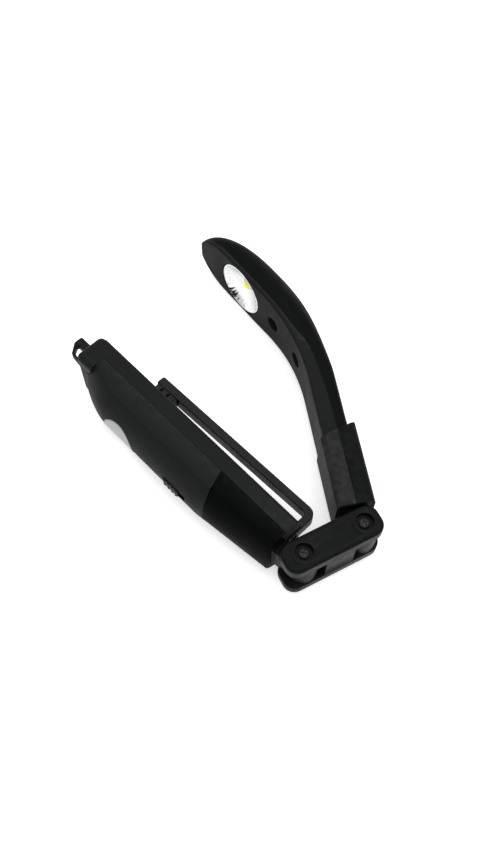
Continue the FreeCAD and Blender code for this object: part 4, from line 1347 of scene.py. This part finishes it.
@dataclass
class PowerPack:
    """Cells, contacts, springs, tray and driver board inside the body."""

    bench: Bench
    repeater: Repeater
    cell_radius: float = 5.25
    wire_radius: float = 0.35

    def build(self) -> None:
        """Everything that the battery cover hides."""
        palette = self.bench.palette
        for node, forward in (("upper_cell", True), ("lower_cell", False)):
            self.cell(node, forward)
        self.spring("tail_spring", 1.0)
        self.spring("front_spring", -1.0)
        self.bench.refine("tail_contact", Body.BODY, palette.contact, 0.08)
        self.bench.refine("front_contacts", Body.BODY, palette.contact, 0.08)
        self.bench.refine("battery_tray", Body.BODY, palette.inner)
        self.bench.refine("driver_board", Body.BODY, palette.board, 0.08)
        self.bench.refine("driver_chip", Body.BODY, palette.knob, 0.12)
        self.bench.refine("driver_coil", Body.BODY, palette.inner, 0.2)
        self.bench.refine("driver_capacitor", Body.BODY, palette.can, 0.35)

    def cell(self, node: str, forward: bool) -> None:
        """Dry cell with a rolled edge at each end and a raised nub."""
        low, high = node_box(node)
        length, r = high.x - low.x, self.cell_radius
        profile = [(0.0, 0.0), (r - 1.2, 0.0), (r - 1.0, 0.25), (r - 0.5, 0.25), (r - 0.25, 0.08),
                   (r - 0.05, 0.3), (r, 0.7), (r, length - 1.9), (r - 0.1, length - 1.3),
                   (r - 0.35, length - 1.05), (r - 0.7, length - 1.1), (2.6, length - 1.1),
                   (2.1, length - 1.0), (1.85, length - 0.4), (1.6, length), (0.0, length)]
        cell = softened(lathe(profile, 64), 0.0)
        turn = Matrix.Rotation(pi / 2 if forward else -pi / 2, 4, "Y")
        start = low.x if forward else high.x
        middle = (low + high) / 2
        way = Matrix.Translation((start, middle.y, middle.z)) @ turn
        self.bench.hand_over(moved(cell, way), node + "_wrapped", Body.BODY,
                             self.bench.palette.cell, [node])

    def spring(self, node: str, way: float) -> None:
        """Conical contact spring."""
        low, high = node_box(node)
        middle = (low + high) / 2
        outer = (high.z - low.z) / 2 - self.wire_radius
        coil = self.repeater.run(self.repeater.coil, [Vector()], {
            "Turns": 4.0, "Start Radius": outer, "End Radius": outer - 1.2,
            "Height": high.x - low.x - 2 * self.wire_radius, "Wire Radius": self.wire_radius})
        start = low.x + self.wire_radius if way > 0 else high.x - self.wire_radius
        place = Matrix.Translation((start, middle.y, middle.z)) @ Matrix.Rotation(
            way * pi / 2, 4, "Y")
        self.bench.hand_over(moved(coil, place), node + "_wound", Body.BODY,
                             self.bench.palette.contact, [node])


@dataclass
class PivotLink:
    """Two cheeks with a shared web, and the screws, nuts, bushes and washers of both pivots."""

    bench: Bench
    repeater: Repeater
    cheek: float = 5.0
    inset: float = 1.5
    rim_rise: float = 0.25
    web_inset: float = 0.15
    half_width: float = 6.0
    tail: float = 8.0
    nose: float = 6.3
    corner: float = 4.5
    outer_edge: float = 1.1
    knuckle_radius: float = 5.7
    screw_radius: float = 1.25
    bush_radius: float = 2.5
    recess_radius: float = 3.4
    recess_depth: float = 1.7
    rim_radius: float = 4.3
    split_gap: float = 0.05
    bush_depth: float = 1.6
    head_radius: float = 1.95
    head_height: float = 1.3
    nut_height: float = 1.4

    def build(self) -> None:
        """Cheeks, knuckles and pivot hardware."""
        palette = self.bench.palette
        top = self.cheek_half()
        flip = Matrix.Translation((0, 0, THICK)) @ Matrix.Scale(-1, 4, (0, 0, 1))
        bottom = object_of("bottom", top.data.copy())
        moved(bottom, flip)
        tidied(bottom.data)
        for solid, node in ((top, "link_top"), (bottom, "link_bottom")):
            moved(solid, self.place())
            self.bench.hand_over(solid, node + "_cheek", Body.LINK, palette.link, [node])
        self.bench.refine("body_knuckle", Body.BODY, palette.link, 0.3)
        self.bench.refine("arm_knuckle", Body.ARM, palette.link, 0.3)
        for pivot in ("body_pivot", "arm_pivot"):
            self.bench.refine(pivot + "_bush", Body.LINK, palette.bush, 0.08)
            self.bench.refine(pivot + "_washers", Body.LINK, palette.steel, 0.05)
            self.bench.refine(pivot + "_nut", Body.LINK, palette.black_screw, 0.12)
        self.screws()

    def place(self) -> Matrix:
        """From the link's own axes, along the line of its pivots, to the frame."""
        way = ARM_PIVOT - BODY_PIVOT
        return Matrix.Translation(BODY_PIVOT) @ Matrix.Rotation(atan2(way.y, way.x), 4, "Z")

    def cheek_half(self) -> Solid:
        """Upper cheek with its half of the web."""
        spacing = (ARM_PIVOT - BODY_PIVOT).length
        high = THICK - self.inset
        low = high - self.cheek
        rings = []
        for step in range(7):
            turn = pi / 2 * step / 6
            inward = self.outer_edge * (1 - cos(turn))
            outline = rectangle(-self.tail + inward, spacing + self.nose - inward,
                                -self.half_width + inward, self.half_width - inward,
                                self.corner - inward)
            z = high - self.outer_edge * (1 - sin(turn))
            rings.append([Vector((x, y, z)) for x, y in outline])
        base = rectangle(-self.tail, spacing + self.nose, -self.half_width, self.half_width,
                         self.corner)
        rings.insert(0, [Vector((x, y, low)) for x, y in base])
        half = loft(rings)
        web_half = spacing / 2 - self.knuckle_radius - 0.6
        reach = self.half_width - self.web_inset
        web = block(spacing / 2 - web_half, spacing / 2 + web_half, -reach, reach,
                    MID_Z + self.split_gap, low + 0.5)
        half = combined(half, web, Merge.JOIN)
        seat = THICK - (self.inset + self.cheek - self.bush_depth)
        for x in (0.0, spacing):
            rim = shifted(lathe([(0, -1), (self.rim_radius, -1), (self.rim_radius, self.rim_rise),
                                 (0, self.rim_rise)]), x, 0, high)
            half = combined(half, rim, Merge.JOIN)
            recess = shifted(lathe([(0, -self.recess_depth), (self.recess_radius,
                                                              -self.recess_depth),
                                    (self.recess_radius, 2), (0, 2)]), x, 0,
                             high + self.rim_rise)
            half = combined(half, recess, Merge.CUT)
            bore = self.screw_radius + 0.15
            step_bore = shifted(lathe([(0, 0), (self.bush_radius, 0),
                                       (self.bush_radius, seat), (bore, seat), (bore, THICK),
                                       (0, THICK)], 48), x, 0, 0)
            half = combined(half, step_bore, Merge.CUT)
        return softened(half, 0.22)

    def screws(self) -> None:
        """Screw of each pivot, on the guide of the two pivot points."""
        head = screw_head(self.head_radius, self.head_height)
        shank = lathe([(0, 0), (self.screw_radius, 0), (self.screw_radius, 1), (0, 1)], 32)
        nut_seat = self.inset - self.rim_rise + self.recess_depth
        floor = THICK - nut_seat
        moved(shank, Matrix.Diagonal((1, 1, nut_seat - self.nut_height - floor, 1)))
        tidied(shank.data)
        template = joined([head, shank])
        points = [pivot + Vector((0, 0, floor + 0.01)) for pivot in (BODY_PIVOT, ARM_PIVOT)]
        made = self.repeater.run(self.repeater.on_points, points, {
            "Template": template, "Turn": (0.0, 0.0, 0.5), "Turn Step": 0.8})
        self.bench.hand_over(made, "pivot_screws", Body.LINK, self.bench.palette.black_screw,
                             ["body_pivot_screw", "arm_pivot_screw"])


@dataclass
class LampArm:
    """Curved arm with the lamp in its head: face shell, back shell and the lamp itself."""

    bench: Bench
    repeater: Repeater
    angle: float = 146.0
    start: float = 7.2
    bend_start: float = 60.0
    bend_radius: float = 80.0
    bend_angle: float = 28.0
    head_length: float = 43.5
    depth_taper: float = 30.0
    width_taper: float = 19.0
    face_y: float = 7.2
    thick: float = 10.5
    half_width: float = 10.5
    head_thick: float = 15.0
    head_half_width: float = 12.45
    wall: float = 1.6
    sleeve_end: float = 37.0
    sleeve_lean: float = 2.1
    sleeve_back: float = -5.9
    sleeve_wall: float = 1.8
    sleeve_inset: float = 1.0
    split_y: float = 1.3
    face_plate: float = 1.7
    lamp_at: float = 16.6
    reflector_radius: float = 11.7
    reflector_depth: float = 4.6
    flutes: int = 30
    hole_runs: tuple[float, float] = (67.9, 86.8)
    chip_half: float = 1.9
    pocket_radius: float = 1.68
    dome_radius: float = 1.6
    lead_y: float = -0.5
    lead_spread: float = 5.5
    lead_radius: float = 0.5
    lead_start: float = 13.0
    hole_radius: float = 3.3
    well_radius: float = 4.2

    def place(self) -> Matrix:
        """From the arm's own axes, along its straight stretch, to the frame."""
        return Matrix.Translation(ARM_PIVOT) @ Matrix.Rotation(radians(self.angle), 4, "Z")

    @property
    def straight(self) -> float:
        """Length of the face's straight stretch."""
        return self.bend_start - self.start

    @property
    def bend_length(self) -> float:
        """Length of the face's bend."""
        return self.bend_radius * radians(self.bend_angle)

    @property
    def length(self) -> float:
        """Length of the whole face."""
        return self.straight + self.bend_length + self.head_length

    def face_point(self, run: float) -> tuple[Vector, Vector, float]:
        """Point on the face line, the outward way there, and the turn, a length from the start."""
        turn = min(max(run - self.straight, 0.0) / self.bend_radius, radians(self.bend_angle))
        beyond = max(run - self.straight - self.bend_length, 0.0)
        flat = self.start + run if run <= self.straight else self.bend_start
        x = flat + self.bend_radius * sin(turn) + beyond * cos(turn)
        y = self.face_y + self.bend_radius * (1 - cos(turn)) + beyond * sin(turn)
        return Vector((x, y, 0)), Vector((-sin(turn), cos(turn), 0)), turn

    def thickness(self, run: float) -> float:
        """Depth of the arm below its face."""
        swell = self.thick + (self.head_thick - self.thick) * step_between(run, 60, 98)
        to_tip = self.length - run
        if to_tip < self.depth_taper:
            share = (self.depth_taper - to_tip) / (self.depth_taper + 0.6)
            return swell * sqrt(max(1 - share ** 2, 0.0))
        return swell

    def width(self, run: float) -> float:
        """Half width of the arm."""
        swell = self.half_width + (self.head_half_width - self.half_width) * step_between(
            run, 66, 98)
        to_tip = self.length - run
        if to_tip < self.width_taper:
            share = (self.width_taper - to_tip) / (self.width_taper + 0.3)
            return swell * sqrt(max(1 - share ** 2.4, 0.0))
        return swell

    def ring(self, run: float, inset: float) -> Ring:
        """Closed ring: flat face, short sides, domed back."""
        origin, outward, _ = self.face_point(run)
        depth = self.thickness(run) - 2 * inset
        half = self.width(run) - inset
        dome = step_between(run, 55, 95)
        side = depth * (0.72 - 0.47 * dome)
        shoulder = half * (0.28 + 0.60 * dome)
        rim = min(1.0, 0.2 * half, 0.15 * depth)
        bulge = 0.5523
        points: Outline = [(0.0, 0.0), (0.0, (half - rim) / 2)]
        for step in range(5):
            turn = pi / 2 * step / 4
            points.append((rim * (1 - cos(turn)), half - rim * (1 - sin(turn))))
        start, end = Vector((side, half)), Vector((depth, half - shoulder))
        pole_a = Vector((side + (depth - side) * bulge, half))
        pole_b = Vector((depth, half - shoulder * (1 - bulge)))
        for step in range(13):
            t = step / 12
            spot = (start * (1 - t) ** 3 + pole_a * (3 * t * (1 - t) ** 2)
                    + pole_b * (3 * t * t * (1 - t)) + end * t ** 3)
            points.append((spot.x, spot.y))
        points.append((depth, 0.0))
        loop = points + [(rise, -z) for rise, z in reversed(points[1:-1])]
        return [origin - outward * (inset + rise) + Vector((0, 0, MID_Z + z))
                for rise, z in loop]

    def form(self, first: float, last: float, inset: float) -> Solid:
        """Solid of the arm between two lengths along the face, closer towards the tip."""
        runs = [first, 12, 24, 36, 46] + [50 + 2.8 * step for step in range(19)]
        runs += [102.8 + (last - 102.8) * sin(pi / 2 * step / 14) for step in range(15)]
        return loft([self.ring(run, inset) for run in runs])

    def sleeve(self, x0: float, x1: float, lean: float, inset: float, corner: float) -> Solid:
        """Thicker lower stretch round the leads and the knuckle's plug, its end on a slant."""
        outline = rectangle(self.sleeve_back + inset, self.face_y + 0.8 - inset,
                            self.sleeve_inset + inset, THICK - self.sleeve_inset - inset, corner)
        middle = (self.sleeve_back + self.face_y + 0.8) / 2
        half = self.face_y + 0.8 - middle
        return loft([[Vector((x0, y, z)) for y, z in outline],
                     [Vector((x1 - lean * (y - middle) / half, y, z)) for y, z in outline]])

    def face_space(self) -> Solid:
        """Space on the face side of the seam between the arm's two shells."""
        line: Outline = [(0.0, self.split_y), (30.0, self.split_y),
                         (self.bend_start - 6, self.split_y + 0.4)]
        for run in (66, 76, 86, 96, 110, self.length + 6):
            point, outward, _ = self.face_point(run)
            sink = self.face_plate + 4.4 * (1 - step_between(run, 52, 84))
            spot = point - outward * sink
            line.append((spot.x, spot.y))
        curve = smooth_line(line)
        far = 60.0
        return prism(curve + [(curve[-1][0] + 10, far), (0.0, far)], -5, THICK + 5)

    def along_axis(self, solid: Solid, run: float, depth: float = 0.0) -> Solid:
        """Stand a turned solid on the face, its Z pointing out, a depth below it."""
        point, outward, _ = self.face_point(run)
        spot = point - outward * depth + Vector((0, 0, MID_Z))
        turn = Vector((0, 0, 1)).rotation_difference(outward).to_matrix().to_4x4()
        return moved(solid, Matrix.Translation(spot) @ turn)

    def build(self) -> None:
        """Shells, screws, leads and lamp."""
        self.shells()
        self.screws()
        self.leads()
        self.lamp()

    def drum(self, radius: float, low: float, high: float, run: float) -> Solid:
        """Round bar across the face, between two heights over it."""
        return self.along_axis(lathe([(0, low), (radius, low), (radius, high), (0, high)], 64),
                               run)

    def shells(self) -> None:
        """Face shell and back shell with the seam between them."""
        outer = combined(self.form(0, self.length - 0.6, 0.0),
                         self.sleeve(self.start, self.sleeve_end, self.sleeve_lean, 0.0,
                                     2.6), Merge.JOIN)
        hollow = combined(self.form(2, self.length - 4.5, self.wall),
                          self.sleeve(self.start - 1, self.sleeve_end - self.sleeve_lean - 1, 0.0,
                                      self.sleeve_wall, 0.8), Merge.JOIN)
        space = self.face_space()
        face = object_of("face", outer.data.copy())
        face = combined(face, space, Merge.KEEP, keep_tool=True)
        face = combined(face, hollow, Merge.CUT, keep_tool=True)
        lamp_run = self.straight + self.bend_length + self.lamp_at
        face = combined(face, self.drum(self.reflector_radius + 0.15, -4, 4, lamp_run), Merge.CUT)
        back = combined(combined(outer, space, Merge.CUT), hollow, Merge.CUT)
        for run in self.hole_runs:
            well = self.drum(self.well_radius, -5.6, -0.6, run)
            face = combined(face, well, Merge.JOIN)
            face = combined(face, self.drum(self.hole_radius, -4.6, 3, run), Merge.CUT)
            face = combined(face, self.drum(1.0, -7, 0, run), Merge.CUT)
            boss = self.drum(2.6, 1.0 - self.thickness(run), -5.7, run)
            back = combined(back, boss, Merge.JOIN)
            back = combined(back, self.drum(0.9, -8.6, -3, run), Merge.CUT)
        palette = self.bench.palette
        for solid, name, node, finish in (
                (face, "arm_face_moulding", "arm_face_shell", palette.face),
                (back, "arm_back_moulding", "arm_back_shell", palette.arm)):
            moved(softened(solid, 0.26), self.place())
            self.bench.hand_over(solid, name, Body.ARM, finish, [node])

    def screws(self) -> None:
        """Face screws at the bottom of their wells."""
        made = []
        for run in self.hole_runs:
            shank = lathe([(0, -4.1), (0.6, -4.1), (0.9, -3.4), (0.9, 0.1), (0, 0.1)], 24)
            made.append(self.along_axis(joined([screw_head(1.9, 1.1), shank]), run, 4.38))
        self.bench.hand_over(moved(joined(made), self.place()), "face_screws_finished", Body.ARM,
                             self.bench.palette.steel, ["face_screws"])

    def leads(self) -> None:
        """Pair of leads along the arm."""
        ends = (self.lead_start, self.bend_start + 6)
        points = [Vector((x, self.lead_y, MID_Z + side * self.lead_spread))
                  for side in (-1, 1) for x in ends]
        leads = self.repeater.run(self.repeater.tube, points, {"Radius": self.lead_radius},
                                  [(0, 1), (2, 3)])
        self.bench.hand_over(moved(leads, self.place()), "arm_lead_pair", Body.ARM,
                             self.bench.palette.sheath, ["arm_leads"])

    def bowl(self, depth: float) -> float:
        """Inner radius of the reflector, a depth below the face."""
        share = depth / (self.reflector_depth * 1.06)
        return max(self.reflector_radius * sqrt(max(1 - share, 0.0)) - 0.3, 2.8)

    def petal(self) -> Solid:
        """One flute of the reflector: a closed wedge of its wall."""
        half = pi / self.flutes
        steps, spans = 12, 6
        ripple = 0.10
        rows: list[Ring] = []
        top = 0.35
        depths = [top + (self.reflector_depth - top) * step / steps for step in range(steps + 1)]
        walls = [(self.bowl(depth), -depth, True) for depth in depths]
        walls += [(self.bowl(depth) + 0.7, -depth, False) for depth in reversed(depths)]
        walls += [(self.reflector_radius, -1.4, False), (self.reflector_radius, -0.15, False),
                  (self.bowl(top), -0.15, False)]
        for step in range(spans + 1):
            turn = -half + 2 * half * step / spans
            ring = []
            for radius, height, fluted in walls:
                deep = radius + (ripple * cos(turn / half * pi / 2) if fluted else 0.0)
                ring.append(Vector((deep * cos(turn), deep * sin(turn), height)))
            rows.append(ring)
        size = len(walls)
        points = [point for ring in rows for point in ring]
        faces = [(s * size + k, (s + 1) * size + k, (s + 1) * size + (k + 1) % size,
                  s * size + (k + 1) % size) for s in range(spans) for k in range(size)]
        return solid_from("petal", points, faces)

    def lamp(self) -> None:
        """Reflector, board, diode and dome."""
        palette = self.bench.palette
        run = self.straight + self.bend_length + self.lamp_at
        bowl = self.repeater.run(self.repeater.round_axis, [Vector()], {
            "Template": self.petal(), "Count": self.flutes, "Merge Gap": 0.004})
        tidied(bowl.data)
        bowl = softened(self.along_axis(bowl, run), 0.0)
        self.bench.hand_over(moved(bowl, self.place()), "fluted_reflector", Body.ARM,
                             palette.chrome, ["reflector"])
        floor = self.reflector_depth + 0.1
        half, pocket = self.chip_half, self.pocket_radius
        base = combined(prism(rectangle(-half, half, -half, half, 0.2), -floor, -floor + 0.9),
                        shifted(lathe([(0, 0), (pocket, 0), (pocket, 1), (0, 1)], 40), 0, 0,
                                -floor + 0.75), Merge.CUT)
        base = self.along_axis(softened(base, 0.08, segments=2), run)
        self.bench.hand_over(moved(base, self.place()), "led_base", Body.ARM, palette.ceramic,
                             ["led_chip"])
        radius = self.dome_radius
        profile = [(0.0, -0.12)] + [(radius * cos(pi / 2 * k / 10), radius * sin(pi / 2 * k / 10))
                                    for k in range(11)]
        profile.insert(1, (radius, -0.12))
        dome = self.along_axis(softened(lathe(profile, 40), 0.0), run, floor - 0.9)
        self.bench.hand_over(moved(dome, self.place()), "led_lens", Body.ARM, palette.phosphor,
                             ["led_dome"])
        self.bench.refine("led_board", Body.ARM, palette.can, 0.1)


@dataclass
class Studio:
    """Pale floor, soft lights and the camera."""

    target: tuple[float, float, float] = (7.4, 24.9, 12.5)
    distance: float = 340.0
    azimuth: float = 46.2
    elevation: float = 62.5
    focal_share: float = 900.0 / 855.0
    sensor: float = 36.0
    floor_size: float = 6.0
    floor_glow: float = 0.35
    sky: float = 0.90

    def build(self) -> None:
        """Floor, world, lights and camera."""
        self.floor()
        self.world()
        middle = Vector((0.0, 0.03, 0.0))
        self.softbox("overhead_light", middle + Vector((-0.15, 0.25, 1.10)), middle, 1.2, 9.0)
        self.softbox("side_light", middle + Vector((0.85, -0.70, 0.45)), middle, 0.5, 2.5)
        self.camera()
        bpy.context.scene.view_settings.view_transform = "Standard"

    def floor(self) -> None:
        """Plain pale floor under the part."""
        half = self.floor_size / 2
        mesh = bpy.data.meshes.new("floor")
        mesh.from_pydata([(-half, -half, 0), (half, -half, 0), (half, half, 0),
                          (-half, half, 0)], [], [(0, 1, 2, 3)])
        floor = object_of("floor", mesh)
        material = bpy.data.materials.new("pale_floor")
        material.use_nodes = True
        shader = material.node_tree.nodes["Principled BSDF"]
        shader.inputs["Base Color"].default_value = (0.93, 0.93, 0.93, 1.0)
        shader.inputs["Roughness"].default_value = 0.9
        shader.inputs["Specular IOR Level"].default_value = 0.1
        shader.inputs["Emission Color"].default_value = (1.0, 1.0, 1.0, 1.0)
        shader.inputs["Emission Strength"].default_value = self.floor_glow
        mesh.materials.append(material)

    def world(self) -> None:
        """Even pale surround."""
        world = bpy.data.worlds.new("surround")
        world.use_nodes = True
        sky = world.node_tree.nodes["Background"]
        sky.inputs["Color"].default_value = (1.0, 1.0, 1.0, 1.0)
        sky.inputs["Strength"].default_value = self.sky
        bpy.context.scene.world = world

    @staticmethod
    def softbox(name: str, place: Vector, aim: Vector, size: float, power: float) -> None:
        """Square area light that points at the part."""
        light = bpy.data.lights.new(name, "AREA")
        light.size = size
        light.energy = power
        box = bpy.data.objects.new(name, light)
        box.location = place
        box.rotation_euler = (aim - place).to_track_quat("-Z", "Y").to_euler()
        bpy.context.scene.collection.objects.link(box)

    def camera(self) -> None:
        """Camera that looks down on the light from beyond its open corner."""
        a, e = radians(self.azimuth), radians(self.elevation)
        back = Vector((sin(a) * cos(e), -cos(a) * cos(e), sin(e)))
        data = bpy.data.cameras.new("camera")
        data.sensor_width = self.sensor
        data.lens = self.focal_share * self.sensor
        data.clip_start, data.clip_end = 0.01, 20.0
        camera = bpy.data.objects.new("camera", data)
        camera.location = (Vector(self.target) + back * self.distance) * MILLIMETRE
        camera.rotation_euler = (-back).to_track_quat("-Z", "Y").to_euler()
        bpy.context.scene.collection.objects.link(camera)
        bpy.context.scene.camera = camera


def main() -> None:
    """Build the reading light and its studio."""
    logging.basicConfig(level=logging.INFO, format="%(message)s", force=True)
    bench = Bench(Palette())
    repeater = Repeater()
    Studio().build()
    sections: list[tuple[str, Callable[[], None]]] = [
        ("body shells", BodyShells(bench).build),
        ("lanyard loop", Nose(bench).build),
        ("spring clip", SpringClip(bench, repeater).build),
        ("slide switch", SlideSwitch(bench, repeater).build),
        ("power pack", PowerPack(bench, repeater).build),
        ("pivot link", PivotLink(bench, repeater).build),
        ("lamp arm", LampArm(bench, repeater).build),
    ]
    for title, build in sections:
        log.info("-- %s", title)
        build()
    log.info("%d pieces", bench.count)


if __name__ == "__main__":
    main()
